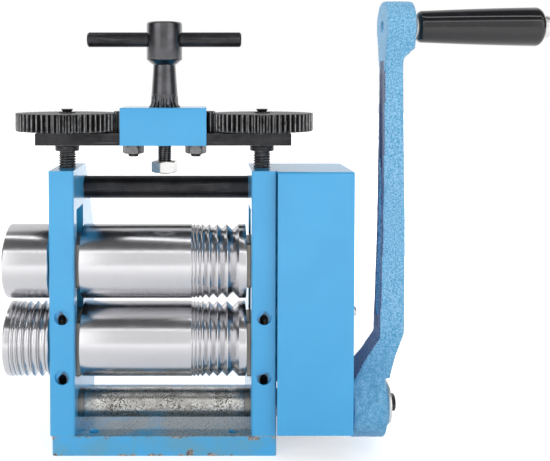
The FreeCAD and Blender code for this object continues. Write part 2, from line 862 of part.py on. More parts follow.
def end_screw_right(seat, axis_z, rim):
    """Washer and hexagon screw on the right end of a roll."""
    washer = rod_x(rim, seat, seat + washer_height, roll_y, axis_z)
    head = along_x(hexagon(bolt_flats, bolt_head_height), seat + washer_height, roll_y, axis_z)
    shank = rod_x(bolt_radius, seat - bolt_reach, seat + washer_height, roll_y, axis_z)
    washer = washer.cut(shank)
    return Part.makeCompound([washer, head.fuse(shank).removeSplitter()])


def cover_outline(inset, low):
    """YZ outline of the gear cover, drawn inwards by inset, down to low."""
    nose = front - cover_front_stand + inset
    slope = math.atan2(frame_shoulder_drop, back - frame_top_back)
    shift = inset * math.tan(slope / 2)
    bend = cover_bend_radius - inset
    return [(nose, low, 0.0), (back - inset, low, 0.0),
            (back - inset, shoulder_height - inset * math.tan(math.radians(45) - slope / 2), bend),
            (frame_top_back - shift, frame_top - inset, bend), (nose, frame_top - inset, bend)]


def gear_cover():
    """Folded sheet box over the gears, open underneath and against the right frame."""
    outer = plate_x(cover_outline(0.0, cover_floor_height), 0.0, frame_outer, cover_end)
    inner = plate_x(cover_outline(cover_wall, cover_floor_height - cut_past), 0.0,
                    frame_outer - cut_past, cover_end - cover_wall)
    shell = outer.cut(inner)
    hole = arm_hub_spigot_radius() + cover_shaft_hole_gap
    inside = cover_end - cover_wall
    shell = shell.cut(hole_x(hole, inside, cover_end, crank_y, crank_axis_height))
    for y, z in standoff_places():
        shell = shell.cut(hole_x(small_screw_radius, inside, cover_end, y, z))
    return shell


def cover_standoffs():
    """Round standoffs from the right frame to the inside of the cover."""
    posts = []
    for y, z in standoff_places():
        post = rod_x(standoff_radius, frame_outer, cover_end - cover_wall, y, z)
        spigot = rod_x(standoff_spigot_radius, frame_outer - standoff_spigot_length, frame_outer, y, z)
        hole = rod_x(small_screw_radius, cover_end - cover_wall - small_screw_reach, cover_end, y, z)
        posts.append(post.fuse(spigot).cut(hole))
    return Part.makeCompound(posts)


def cover_screws():
    """Pan head screws that hold the cover on its standoffs."""
    screws = []
    for y, z in standoff_places():
        rim = cover_end + pan_head_rim
        crown = cover_end + pan_head_height
        head = turned_x([(cover_end, 0), (cover_end, pan_head_radius), (rim, pan_head_radius),
                         (crown, pan_head_crown_radius), (crown, 0)], y, z)
        shank = rod_x(small_screw_radius, cover_end - cover_wall - small_screw_reach, cover_end, y, z)
        screws.append(head.fuse(shank).removeSplitter())
    return Part.makeCompound(screws)


def arm_hub_spigot_radius():
    """Radius of the spacers on the crank shaft's right end."""
    return crank_shaft_radius - spacer_inset


def crank_spacers():
    """Two sleeves that hold the pinion and the crank apart on the shaft."""
    radius = arm_hub_spigot_radius()
    sleeves = []
    for start, end in ((frame_outer + slide_gap, reduction_start), (reduction_end, arm_hub_start)):
        sleeve = rod_x(radius, start, end, crank_y, crank_axis_height)
        sleeve = sleeve.cut(hole_x(crank_journal_radius, start, end, crank_y, crank_axis_height))
        sleeves.append(sleeve)
    return Part.makeCompound(sleeves)


def arm_side_profile():
    """XZ outline of the cast arm, seen from the front: hub, set-out bend, stem and boss."""
    low = crank_axis_height - arm_hub_radius
    top = handle_z + arm_boss_radius
    hub_end = arm_hub_start + arm_hub_width
    bend_low = crank_axis_height + arm_bend_start
    bend_high = crank_axis_height + arm_bend_end
    boss_foot = handle_z - arm_boss_radius
    edge = arm_edge_round
    return [(arm_hub_start, low, edge), (hub_end, low, 2 * edge),
            (hub_end, bend_low + arm_bend_shift, arm_bend_radius),
            (arm_stem_outer, bend_high + arm_bend_shift, arm_bend_radius),
            (arm_stem_outer, boss_foot - arm_step_start, 2 * edge),
            (arm_boss_end, boss_foot + edge, edge), (arm_boss_end, top, edge), (arm_top_inner, top, edge),
            (arm_top_inner, boss_foot - arm_step_length, arm_step_blend),
            (arm_stem_inner, bend_high, 3 * edge), (arm_hub_start, bend_low, edge)]


def arm_face_outline():
    """YZ outline of the arm, seen from the crank's end: two round ends and a tapering stem."""
    start = arm_hub_start - cut_past
    end = arm_boss_end + cut_past
    hub = rod_x(arm_hub_radius, start, end, crank_y, crank_axis_height)
    boss = rod_x(arm_boss_radius, start, end, crank_y, handle_z)
    low = arm_stem_width_low / 2
    high = arm_stem_width_high / 2
    foot = crank_axis_height + arm_hub_radius + arm_neck_length
    neck = handle_z - arm_boss_radius - arm_neck_length
    root = math.radians(arm_root_angle)
    hub_side = arm_hub_radius * math.cos(root)
    hub_rise = crank_axis_height + arm_hub_radius * math.sin(root)
    boss_side = arm_boss_radius * math.cos(root)
    boss_drop = handle_z - arm_boss_radius * math.sin(root)
    outline = [(crank_y - hub_side, hub_rise, 0.0), (crank_y + hub_side, hub_rise, 0.0),
               (crank_y + low, foot, arm_neck_blend), (crank_y + high, neck, arm_neck_blend),
               (crank_y + boss_side, boss_drop, 0.0), (crank_y - boss_side, boss_drop, 0.0),
               (crank_y - high, neck, arm_neck_blend), (crank_y - low, foot, arm_neck_blend)]
    stem = plate_x(outline, 0.0, start, end)
    return hub.fuse([boss, stem]).removeSplitter()


def crank_arm():
    """Cast crank arm: the side profile cut to the face outline, with a channel on the inner face."""
    span = arm_hub_radius + cut_past
    slab = plate_y(arm_side_profile(), 0.0, crank_y - span, crank_y + span)
    arm = slab.common(arm_face_outline())
    half = arm_stem_width_high / 2 - arm_recess_rim
    low = crank_axis_height + arm_recess_low
    high = crank_axis_height + arm_recess_high
    channel = [(crank_y - half, low), (crank_y + half, low), (crank_y + half, high), (crank_y - half, high)]
    arm = arm.cut(plate_x(channel, half - running_gap, arm_hub_start, arm_stem_inner + arm_recess_depth))
    arm = arm.cut(hole_x(crank_journal_radius, arm_hub_start, arm_hub_start + arm_hub_width,
                        crank_y, crank_axis_height))
    arm = arm.cut(crank_key_blocks()[1])
    return arm.cut(hole_x(grip_spindle_radius, arm_top_inner, arm_boss_end, crank_y, handle_z))


def crank_washer():
    """Large washer under the crank's bolt."""
    seat = arm_hub_start + arm_hub_width
    washer = rod_x(washer_radius, seat, seat + washer_height, crank_y, crank_axis_height)
    return washer.cut(hole_x(bolt_radius, seat, seat + washer_height, crank_y, crank_axis_height))


def crank_bolt():
    """Hexagon bolt in the end of the crank shaft."""
    seat = arm_hub_start + arm_hub_width + washer_height
    head = along_x(hexagon(bolt_flats, bolt_head_height), seat, crank_y, crank_axis_height)
    shank = rod_x(bolt_radius, seat - 2 * washer_height - bolt_reach, seat, crank_y, crank_axis_height)
    return head.fuse(shank).removeSplitter()


def handle_spindle():
    """Shouldered pin of the grip, riveted in the boss, with a slotted head outside."""
    head_start = grip_end + 2 * slide_gap
    rim = grip_head_chamfer
    rivet_end = arm_top_inner + seat_gap
    pin = turned_x([(rivet_end, 0), (rivet_end, grip_spindle_radius),
                    (arm_boss_end, grip_spindle_radius), (arm_boss_end, grip_shoulder_radius),
                    (grip_start - slide_gap, grip_shoulder_radius),
                    (grip_start - slide_gap, grip_spindle_radius),
                    (head_start, grip_spindle_radius), (head_start, grip_head_radius),
                    (head_start + grip_head_height - rim, grip_head_radius),
                    (head_start + grip_head_height, grip_head_radius - rim),
                    (head_start + grip_head_height, 0)], crank_y, handle_z)
    end = head_start + grip_head_height
    slot = block(end - slot_depth, end + cut_past, crank_y - slot_width / 2, crank_y + slot_width / 2,
                 handle_z - 2 * grip_head_radius, handle_z + 2 * grip_head_radius)
    return pin.cut(slot)


def handle_grip():
    """Tapered turning grip, thickest at its outer end."""
    grip = turned_x([(grip_start, 0), (grip_start, grip_small_radius), (grip_end, grip_large_radius),
                     (grip_end, 0)], crank_y, handle_z)
    rims = [e for e in grip.Edges if e.Curve.TypeId == "Part::GeomCircle"
            and e.Curve.Radius > grip_spindle_radius]
    grip = grip.makeFillet(grip_end_round, rims)
    return grip.cut(hole_x(grip_spindle_radius + running_gap, grip_start, grip_end, crank_y, handle_z))


def crossbar():
    """Flat bar that carries the adjusting gears and rests on the screws' collars."""
    half = crossbar_length / 2
    bar = block(-half, half, roll_y - crossbar_depth / 2, roll_y + crossbar_depth / 2,
                crossbar_bottom, crossbar_top)
    for x in (-frame_middle, frame_middle):
        bar = bar.cut(hole_z(screw_stem_radius + running_gap, crossbar_bottom, crossbar_top, x, roll_y))
    for x in (-idler_x, idler_x):
        bar = bar.cut(hole_z(idler_pin_radius, crossbar_bottom, crossbar_top, x, roll_y))
    return bar.cut(hole_z(spindle_radius + running_gap, crossbar_bottom, crossbar_top, 0, roll_y))


def adjust_gear(teeth, width):
    """Gear of the gap setting train, one tooth pointing along +X."""
    return gear(teeth, adjust_module, width, adjust_module, dedendum_share * adjust_module, adjust_backlash)


def gear_floor():
    """Height of the underside of the adjusting gears."""
    return crossbar_top + gear_boss_height


def screw_drive(gap):
    """Two flats on the screw's top that drive the gear, at the origin."""
    height = adjust_gear_width + gear_boss_height - seat_gap
    round_part = Part.makeCylinder(screw_drive_radius + gap, height)
    wide = 2 * screw_drive_radius + 2
    flats = screw_drive_flats + 2 * gap
    return round_part.common(Part.makeBox(wide, flats, height, Vector(-wide / 2, -flats / 2, 0)))


def pressure_screw():
    """Right pressure screw: thread, neck, collar under the crossbar, stem and drive flats."""
    collar_top = crossbar_bottom - seat_gap
    collar_bottom = collar_top - screw_collar_height
    thread_top = collar_bottom - screw_neck_length
    tip = upper_block_top + seat_gap
    seat = crossbar_top + seat_gap
    chamfer = screw_tip_chamfer
    body = turned_z([(tip, 0), (tip, screw_radius - chamfer), (tip + chamfer, screw_radius),
                     (thread_top, screw_radius), (thread_top, screw_neck_radius),
                     (collar_bottom, screw_neck_radius), (collar_bottom, screw_collar_radius),
                     (collar_top, screw_collar_radius), (collar_top, screw_stem_radius),
                     (seat, screw_stem_radius), (seat, 0)], frame_middle, roll_y)
    body = body.fuse(moved(screw_drive(0.0), frame_middle, roll_y, seat))
    top = gear_floor() + adjust_gear_width
    return body.cut(rod_z(gear_screw_radius, top - gear_screw_reach, top + cut_past, frame_middle, roll_y))


def adjusting_gear():
    """Large gear on the right pressure screw. Its neighbour meets a space on the -X side."""
    disc = moved(adjust_gear(adjust_gear_teeth, adjust_gear_width), frame_middle, roll_y, gear_floor())
    boss = rod_z(gear_boss_radius, crossbar_top + seat_gap, gear_floor(), frame_middle, roll_y)
    disc = disc.fuse(boss)
    return disc.cut(moved(screw_drive(0.0), frame_middle, roll_y, crossbar_top + seat_gap))


def gear_washer():
    """Thin washer on top of the right adjusting gear."""
    floor = gear_floor() + adjust_gear_width
    washer = rod_z(gear_washer_radius, floor, floor + gear_washer_height, frame_middle, roll_y)
    return washer.cut(hole_z(gear_screw_radius, floor, floor + gear_washer_height, frame_middle, roll_y))


def gear_screw():
    """Small slotted screw that holds the gear on the right pressure screw."""
    floor = gear_floor() + adjust_gear_width
    seat = floor + gear_washer_height
    top = seat + gear_screw_head_height
    body = turned_z([(floor - gear_screw_reach, 0), (floor - gear_screw_reach, gear_screw_radius),
                     (seat, gear_screw_radius), (top - gear_screw_rim, gear_screw_head_radius),
                     (top, gear_screw_head_radius), (top, 0)], frame_middle, roll_y)
    half = gear_screw_head_radius + 1
    slot = block(frame_middle - half, frame_middle + half, roll_y - slot_width / 2, roll_y + slot_width / 2,
                 top - slot_depth / 2, top + cut_past)
    return body.cut(slot)


def idler_gear():
    """Right idler between the handle's pinion and the adjusting gear."""
    floor = crossbar_top + 2 * seat_gap
    disc = moved(adjust_gear(idler_teeth, idler_width), idler_x, roll_y, floor)
    return disc.cut(hole_z(idler_pin_radius + running_gap, floor, floor + idler_width, idler_x, roll_y))


def idler_pin():
    """Right idler's pin, threaded below the crossbar for its nut."""
    bottom = crossbar_bottom - idler_nut_height - idler_pin_standout
    top = crossbar_top + 2 * seat_gap + idler_width
    return rod_z(idler_pin_radius, bottom, top, idler_x, roll_y)


def idler_nut():
    """Nut under the right idler's pin."""
    bottom = crossbar_bottom - idler_nut_height
    nut = moved(hexagon(idler_nut_flats, idler_nut_height), idler_x, roll_y, bottom)
    return nut.cut(hole_z(idler_pin_radius, bottom, crossbar_bottom, idler_x, roll_y))


def both_sides(shape):
    """A piece and its mirror image as one group."""
    return Part.makeCompound([mirrored_x(shape), shape])


def bridge_cover():
    """Folded sheet channel over the pinion and idlers, open at both ends."""
    half = bridge_cover_length / 2
    deep = crossbar_depth / 2
    wall = bridge_cover_wall
    top = crossbar_bottom + bridge_cover_height
    outer = block(-half, half, roll_y - deep - wall, roll_y + deep + wall, crossbar_bottom, top)
    low = crossbar_bottom - cut_past
    inner = block(-half - cut_past, half + cut_past, roll_y - deep, roll_y + deep, low, top - wall)
    shell = outer.cut(inner)
    long_edges = [e for e in shell.Edges if e.BoundBox.XLength > bridge_cover_length - 0.1
                  and e.CenterOfMass.z > top - 0.1]
    shell = shell.makeFillet(bridge_cover_bend, long_edges)
    hole = pinion_tip_radius() + seat_gap
    return shell.cut(rod_z(hole, top - 2 * wall, top + cut_past, 0, roll_y))


def pinion_tip_radius():
    """Outer radius of the handle's pinion."""
    return adjust_module * (pinion_teeth / 2 + 1)


def t_handle():
    """Turned handle body: head, tapering neck and a pinion whose teeth run out into the neck."""
    tip = pinion_tip_radius()
    cover_top = crossbar_bottom + bridge_cover_height
    foot = crossbar_top + 2 * seat_gap
    flare = cover_top + neck_flare_height
    neck_top = hub_top - hub_height - hub_under_chamfer
    body = turned_z([(foot, 0), (foot, tip), (cover_top + seat_gap, tip), (flare, neck_foot_radius),
                     (neck_top, neck_top_radius), (hub_top - hub_height, hub_radius),
                     (hub_top - hub_top_chamfer, hub_radius), (hub_top, hub_radius - hub_top_chamfer),
                     (hub_top, 0)], 0, roll_y)
    root = adjust_module * (pinion_teeth / 2 - dedendum_share)
    toothed = flare + flute_runout
    teeth = moved(adjust_gear(pinion_teeth, toothed - foot), 0, roll_y, foot)
    runout = Part.makeCone(root, tip, 2 * flute_runout, Vector(0, roll_y, flare - flute_runout / 2))
    above = rod_z(2 * hub_radius, toothed, hub_top + cut_past, 0, roll_y)
    body = body.common(teeth.fuse([runout, above]))
    stud_end = crossbar_bottom - spindle_nut_drop - spindle_nut_height - spindle_end_standout
    chamfer = edge_chamfer
    stud = turned_z([(stud_end, 0), (stud_end, spindle_radius - chamfer),
                     (stud_end + chamfer, spindle_radius), (foot + chamfer, spindle_radius),
                     (foot + chamfer, 0)], 0, roll_y)
    body = body.fuse(stud)
    bar_z = hub_top - t_bar_drop
    return body.cut(rod_x(t_bar_radius, -hub_radius - cut_past, hub_radius + cut_past, roll_y, bar_z))


def t_handle_bar():
    """Cross bar pressed through the handle's head."""
    half = t_bar_length / 2
    rim = t_bar_chamfer
    return turned_x([(-half, 0), (-half, t_bar_radius - rim), (-half + rim, t_bar_radius),
                     (half - rim, t_bar_radius), (half, t_bar_radius - rim), (half, 0)],
                    roll_y, hub_top - t_bar_drop)


def spindle_nut():
    """Bright nut on the lower end of the handle's stud."""
    top = crossbar_bottom - spindle_nut_drop
    bottom = top - spindle_nut_height
    nut = moved(hexagon(spindle_nut_flats, spindle_nut_height, spindle_nut_turn), 0, roll_y, bottom)
    return nut.cut(hole_z(spindle_radius, bottom, top, 0, roll_y))


def left_adjusting_gear():
    """Left adjusting gear: the right one moved across, so that a tooth meets the idler's space."""
    return moved(adjusting_gear(), x=-2 * frame_middle)


def left_idler_gear():
    """Left idler: the right one moved across."""
    return moved(idler_gear(), x=-2 * idler_x)


def pieces():
    """Every separate piece, by its name."""
    right_frame = right_side_frame()
    lower_gear_phase = 90.0
    upper_gear_phase = -90.0 + 180.0 / roll_gear_teeth
    lower_seat = transfer_end - washer_height
    return {
        "base_plate": base_plate(),
        "foot_screws": foot_screws(),
        "left_side_frame": mirrored_x(right_frame),
        "right_side_frame": drive_side_holes(right_frame),
        "tie_bar": tie_bar(),
        "tie_bar_screws": tie_bar_screws(),
        "left_lower_bearing": mirrored_x(lower_bearing()),
        "right_lower_bearing": lower_bearing(),
        "left_upper_bearing": mirrored_x(upper_bearing()),
        "right_upper_bearing": upper_bearing(),
        "left_lift_spring": mirrored_x(lift_spring()),
        "right_lift_spring": lift_spring(),
        "left_crank_bush": mirrored_x(crank_bush()),
        "right_crank_bush": crank_bush(),
        "gear_cover": gear_cover(),
        "cover_standoffs": cover_standoffs(),
        "cover_screws": cover_screws(),
        "reduction_stud": reduction_stud(),
        "stud_retaining_ring": stud_retaining_ring(),
        "reduction_gear": reduction_gear(),
        "crank_shaft": crank_shaft(),
        "crank_keys": Part.makeCompound(crank_key_blocks()),
        "crank_pinion": crank_pinion(),
        "crank_spacers": crank_spacers(),
        "crank_arm": crank_arm(),
        "crank_washer": crank_washer(),
        "crank_bolt": crank_bolt(),
        "handle_spindle": handle_spindle(),
        "handle_grip": handle_grip(),
        "lower_roll": lower_roll(),
        "lower_roll_keys": lower_roll_keys(),
        "lower_roll_gear": roll_gear(lower_roll_height, lower_gear_phase),
        "lower_drive_gear": lower_drive_gear(),
        "lower_side_roll": side_roll(lower_roll_height, True),
        "lower_side_roll_screw": end_screw_left(lower_roll_height),
        "lower_gear_screw": end_screw_right(lower_seat, lower_roll_height, stub_radius),
        "upper_roll": upper_roll(),
        "upper_roll_keys": upper_roll_keys(),
        "upper_roll_gear": roll_gear(upper_roll_height, upper_gear_phase),
        "upper_side_roll": side_roll(upper_roll_height, False),
        "upper_side_roll_screw": end_screw_left(upper_roll_height),
        "upper_gear_screw": end_screw_right(roll_gear_end, upper_roll_height, washer_radius),
        "crossbar": crossbar(),
        "bridge_cover": bridge_cover(),
        "idler_pins": both_sides(idler_pin()),
        "idler_nuts": both_sides(idler_nut()),
        "left_idler_gear": left_idler_gear(),
        "right_idler_gear": idler_gear(),
        "left_pressure_screw": moved(pressure_screw(), x=-2 * frame_middle),
        "right_pressure_screw": pressure_screw(),
        "left_adjusting_gear": left_adjusting_gear(),
        "right_adjusting_gear": adjusting_gear(),
        "left_gear_washer": moved(gear_washer(), x=-2 * frame_middle),
        "right_gear_washer": gear_washer(),
        "left_gear_screw": moved(gear_screw(), x=-2 * frame_middle),
        "right_gear_screw": gear_screw(),
        "t_handle": t_handle(),
        "t_handle_bar": t_handle_bar(),
        "spindle_nut": spindle_nut(),
    }


os.makedirs("parts", exist_ok=True)
for name, shape in pieces().items():
    shape.exportStep("parts/" + name + ".step")
    print(name, len(shape.Solids), shape.isValid(), round(shape.Volume, 1))
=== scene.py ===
"""Looks of the bench rolling mill: painted frames, ground rolls, black gears and a cast crank."""
import json
import math

import bmesh
import bpy
from mathutils import Matrix, Vector


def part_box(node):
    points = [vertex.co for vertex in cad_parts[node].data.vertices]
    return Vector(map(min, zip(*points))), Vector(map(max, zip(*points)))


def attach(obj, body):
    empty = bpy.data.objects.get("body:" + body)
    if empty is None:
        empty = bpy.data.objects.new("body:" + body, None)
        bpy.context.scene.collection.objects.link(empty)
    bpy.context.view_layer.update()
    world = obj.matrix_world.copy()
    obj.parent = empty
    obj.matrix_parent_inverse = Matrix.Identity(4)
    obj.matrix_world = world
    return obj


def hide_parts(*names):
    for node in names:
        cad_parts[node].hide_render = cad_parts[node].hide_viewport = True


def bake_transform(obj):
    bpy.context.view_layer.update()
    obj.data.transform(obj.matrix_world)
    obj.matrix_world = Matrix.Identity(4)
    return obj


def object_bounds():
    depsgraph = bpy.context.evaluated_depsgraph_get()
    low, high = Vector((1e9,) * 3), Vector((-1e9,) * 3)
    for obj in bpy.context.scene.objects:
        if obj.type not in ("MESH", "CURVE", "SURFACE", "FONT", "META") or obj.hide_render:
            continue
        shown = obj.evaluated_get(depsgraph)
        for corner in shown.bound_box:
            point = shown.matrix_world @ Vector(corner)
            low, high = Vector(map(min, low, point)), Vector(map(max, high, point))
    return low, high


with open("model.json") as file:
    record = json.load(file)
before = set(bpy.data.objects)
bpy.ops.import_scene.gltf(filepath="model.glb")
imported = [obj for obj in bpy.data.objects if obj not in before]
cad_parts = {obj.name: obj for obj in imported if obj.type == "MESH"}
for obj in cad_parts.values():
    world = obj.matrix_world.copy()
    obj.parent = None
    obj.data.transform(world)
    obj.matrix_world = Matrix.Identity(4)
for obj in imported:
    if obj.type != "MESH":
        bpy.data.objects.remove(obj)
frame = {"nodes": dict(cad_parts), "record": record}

cad_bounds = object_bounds()

MM = 0.001
TURN = 2 * math.pi

# Driving sizes of the photographed mill, in metres
ROLL_HALF_LENGTH = 55.0 * MM
V_GROOVES = [width * MM for width in (1.5, 2.0, 2.6, 4.0, 5.0, 6.0, 7.5)]
V_LAND = 0.5 * MM
V_COLLAR = 4.4 * MM
ROUND_GROOVES = [width * MM for width in (4.9, 4.5, 4.5, 3.5, 2.4, 2.0)]
ROUND_LAND = 0.5 * MM
ROUND_COLLAR = 2.1 * MM
ROUND_STEPS = 10
SIDE_ROLL_CHAMFER = 1.0 * MM
SIDE_ROLL_RECESS = 3.0 * MM
WASHER_RADIUS = 14.0 * MM
WASHER_HEIGHT = 2.0 * MM
BOLT_RADIUS = 3.0 * MM
BOLT_FLATS = 10.0 * MM
OIL_HEIGHTS = (91.7 * MM, 52.0 * MM)
OIL_SLOPE = math.radians(40)
HUB_SEAT_RADIUS = 15.4 * MM
HUB_DRAFT_LENGTH = 8.0 * MM
HUB_DRAFT = 2.8 * MM
STEM_DRAFT = 2.0 * MM
JOURNAL_RADIUS = 11.0 * MM
STUB_RADIUS = 9.0 * MM
SCREW_PITCH = 1.75 * MM
SPINDLE_PITCH = 1.5 * MM
PIN_PITCH = 1.25 * MM
GEAR_MODULE = 1.25 * MM
GEAR_BACKLASH = 0.22 * MM
PRESSURE_ANGLE = math.radians(25)
TOOTH_CHAMFER = 0.35 * MM
PIN_RADIUS = 4.0 * MM
SCREW_RADIUS = 6.0 * MM
BOLT_HEAD = 4.4 * MM
EASE = 0.3 * MM
BASE_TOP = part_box("base_plate")[1].z

# Colours of the enamel
BLUE = (0.040, 0.415, 0.800)
BLUE_DEEP = (0.035, 0.390, 0.765)
BLUE_STAINED = (0.085, 0.370, 0.590)

# Studio: brightness of the world by its angle in degrees from the front over the top to the back
SKY = ((-180, 0.77), (-2, 0.80), (0, 0.86), (22, 0.92), (37, 0.88), (45, 0.10), (100, 0.08), (112, 0.25),
       (122, 0.77), (180, 0.77))
SIDES = ((0.0, 0.50), (0.34, 0.52), (0.46, 1.0), (0.80, 1.0), (0.92, 0.18), (1.0, 0.15))
SKY_STRENGTH = 2.4
FLOOR_GLOW = 0.50
FLOOR_SIZE = 6.0
FLOOR_FADE = (0.12, 0.75)
LAMPS = (("strip", (0.0, -1.05, 0.98), 2.2, 0.07, 1.5), ("line", (0.0, -0.18, 1.0), 2.2, 0.09, 2.2))

# Camera, solved from the photograph: sizes in pixels, place in metres, tip in degrees
PHOTO_SIZE = (550.0, 461.0)
PHOTO_CENTRE = (207.8, 111.7)
FOCAL_PIXELS = 791.2
CAMERA_PLACE = (29.4 * MM, -557.6 * MM, 244.6 * MM)
CAMERA_TIP = 2.0


def box_of(node):
    """Lowest corner, highest corner and centre of a CAD node."""
    low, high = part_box(node)
    return low, high, (low + high) / 2


# Mesh helpers

def new_object(name, mesh):
    """Link a mesh to the scene as a named object."""
    made = bpy.data.objects.new(name, mesh)
    bpy.context.scene.collection.objects.link(made)
    return made


def smooth_with_edges(mesh, limit=32.0):
    """Faces outwards, smooth shading, and sharp edges past the limit in degrees."""
    work = bmesh.new()
    work.from_mesh(mesh)
    bmesh.ops.remove_doubles(work, verts=work.verts, dist=1e-7)
    bmesh.ops.recalc_face_normals(work, faces=work.faces)
    for face in work.faces:
        face.smooth = True
    for edge in work.edges:
        if len(edge.link_faces) == 2:
            edge.smooth = edge.calc_face_angle(0.0) < math.radians(limit)
    work.to_mesh(mesh)
    work.free()


def from_rings(name, rings, closed=False):
    """Solid skinned over rings of points. closed joins the last ring to the first."""
    count = len(rings[0])
    points = [point for ring in rings for point in ring]
    faces = []
    spans = len(rings) if closed else len(rings) - 1
    for row in range(spans):
        here = row * count
        there = ((row + 1) % len(rings)) * count
        for step in range(count):
            following = (step + 1) % count
            faces.append((here + step, here + following, there + following, there + step))
    if not closed:
        faces.append(tuple(reversed(range(count))))
        faces.append(tuple(range((len(rings) - 1) * count, len(rings) * count)))
    mesh = bpy.data.meshes.new(name)
    mesh.from_pydata(points, [], faces)
    smooth_with_edges(mesh)
    return new_object(name, mesh)


def ring(axis, centre, along, radius_at, count):
    """Points round an axis, X or Z, at one station. radius_at takes the angle."""
    points = []
    for step in range(count):
        angle = TURN * step / count
        radius = radius_at(angle)
        across, up = radius * math.cos(angle), radius * math.sin(angle)
        if axis == "X":
            points.append((along, centre.y + across, centre.z + up))
        else:
            points.append((centre.x + across, centre.y + up, along))
    return points


def eased(profile, ease=EASE, steps=2):
    """Profile of (along, radius) points with each inner corner rounded."""
    points = [Vector((along, radius)) for along, radius in profile]
    result = [points[0]]
    for index in range(1, len(points) - 1):
        before, here, after = points[index - 1], points[index], points[index + 1]
        into, out = before - here, after - here
        reach = min(ease, 0.45 * into.length, 0.45 * out.length)
        first, last = here + into.normalized() * reach, here + out.normalized() * reach
        for step in range(steps + 1):
            share = step / steps
            bent = first.lerp(here, share).lerp(here.lerp(last, share), share)
            result.append(bent)
    result.append(points[-1])
    return [(point.x, point.y) for point in result]


def turned(name, axis, centre, profile, count=96, closed=False, ease=EASE):
    """Turned piece from (along, radius) points. A closed profile is a ring with a bore."""
    if closed:
        outline = eased([profile[-1]] + profile + [profile[0]], ease)[1:-1]
    else:
        outline = eased(profile, ease)
    rings = []
    for along, radius in outline:
        rings.append(ring(axis, centre, along, lambda angle, size=radius: size, count))
    return from_rings(name, rings, closed)


def collar(name, axis, centre, start, end, bore, radius, count=72, ease=0.5 * MM):
    """Plain turned ring between two stations, such as a washer."""
    return turned(name, axis, centre, [(start, bore), (start, radius), (end, radius), (end, bore)], count,
                  closed=True, ease=ease)


def hexagon_radius(flats, angle, turn):
    """Distance from the middle of a hexagon to its side at an angle."""
    part = (angle - turn) % (TURN / 6) - TURN / 12
    return flats / 2 / math.cos(part)


def hexagon_piece(name, axis, centre, start, end, flats, turn=0.0, bore=0.0, both_ends=True):
    """Nut or bolt head with rounded corners where its ends are chamfered."""
    corner = flats / math.sqrt(3)
    bevel = (corner - flats / 2) * 0.62
    length = end - start
    stations = [0.0, 0.15, 0.4, 0.7, 1.0]
    rows = []
    for share in stations:
        rows.append((start + bevel * share, flats / 2 * 0.97 + (corner - flats / 2 * 0.97) * share
                     if both_ends else corner))
    for share in reversed(stations):
        rows.append((end - bevel * share, flats / 2 * 0.97 + (corner - flats / 2 * 0.97) * share))
    rings = []
    for along, limit in rows:
        rings.append(ring(axis, centre, along,
                          lambda angle, cap=limit: min(hexagon_radius(flats, angle, turn), cap), 72))
    if bore:
        lead = min(0.6 * MM, length / 4)
        for along, radius in ((end, bore + lead / 2), (end - lead, bore), (start + lead, bore),
                              (start, bore + lead / 2)):
            rings.append(ring(axis, centre, along, lambda angle, size=radius: size, 72))
    return from_rings(name, rings, closed=bool(bore))


def socket_screw(name, axis, centre, outer, seat_at, tip, head_radius, radius, flats):
    """Cap screw with a hexagon socket in its outer end. outer, seat_at and tip run along the axis."""
    inwards = 1 if tip > outer else -1
    lead = 0.4 * MM * inwards
    depth = (seat_at - outer) * 0.55
    rows = [(outer + depth, None), (outer, None), (outer, head_radius - abs(lead)), (outer + lead, head_radius),
            (seat_at, head_radius), (seat_at, radius), (tip - lead, radius), (tip, radius - abs(lead))]
    rings = []
    for along, size in rows:
        rings.append(ring(axis, centre, along,
                          lambda angle, reach=size: reach or hexagon_radius(flats, angle, 0.0), 72))
    return from_rings(name, rings)


def threaded(name, centre, bottom, top, radius, pitch, count=40):
    """Right hand thread along Z with a chamfered lower end."""
    depth = 0.6 * pitch
    per_turn = 10
    rows = max(2, int((top - bottom) / pitch * per_turn))
    rings = []
    for row in range(rows + 1):
        height = bottom + (top - bottom) * row / rows
        lead = min(1.0, (height - bottom) / pitch + 0.15)

        def thread_radius(angle, z=height, share=lead):
            phase = (z / pitch - angle / TURN) % 1.0
            wave = min(1.0, max(0.0, abs(2 * phase - 1) * 1.3 - 0.15))
            return (radius - depth * wave) * (0.85 + 0.15 * share)

        rings.append(ring("Z", centre, height, thread_radius, count))
    return from_rings(name, rings)


def joined(name, parts):
    """Several meshes as one object."""
    work = bmesh.new()
    for part in parts:
        work.from_mesh(part.data)
    mesh = bpy.data.meshes.new(name)
    work.to_mesh(mesh)
    work.free()
    for part in parts:
        bpy.data.objects.remove(part)
    return new_object(name, mesh)


def mesh_with_modifiers(made):
    """Apply an object's modifiers to its mesh."""
    bpy.context.view_layer.update()
    evaluated = made.evaluated_get(bpy.context.evaluated_depsgraph_get())
    mesh = bpy.data.meshes.new_from_object(evaluated)
    made.modifiers.clear()
    made.data = mesh
    return made


def mark(made, name, value_at):
    """Store a value on every point of a mesh, worked out from the point."""
    old = made.data.attributes.get(name)
    if old:
        made.data.attributes.remove(old)
    layer = made.data.attributes.new(name, "FLOAT", "POINT")
    layer.data.foreach_set("value", [value_at(vertex) for vertex in made.data.vertices])


def crest_wear(made, centre, bottom, top, radius, pitch):
    """Mark the crests of a thread between two heights, where the black is rubbed off."""
    def wear_at(vertex):
        if not bottom < vertex.co.z < top:
            return 0.0
        out = math.hypot(vertex.co.x - centre.x, vertex.co.y - centre.y)
        return max(0.0, 1.0 - (radius - out) / (0.3 * pitch))

    mark(made, "wear", wear_at)


def cut(made, tool):
    """Take the tool's solid out of a piece."""
    modifier = made.modifiers.new("cut", "BOOLEAN")
    modifier.operation = "DIFFERENCE"
    modifier.solver = "EXACT"
    modifier.object = tool
    mesh_with_modifiers(made)
    bpy.data.objects.remove(tool)
    return made


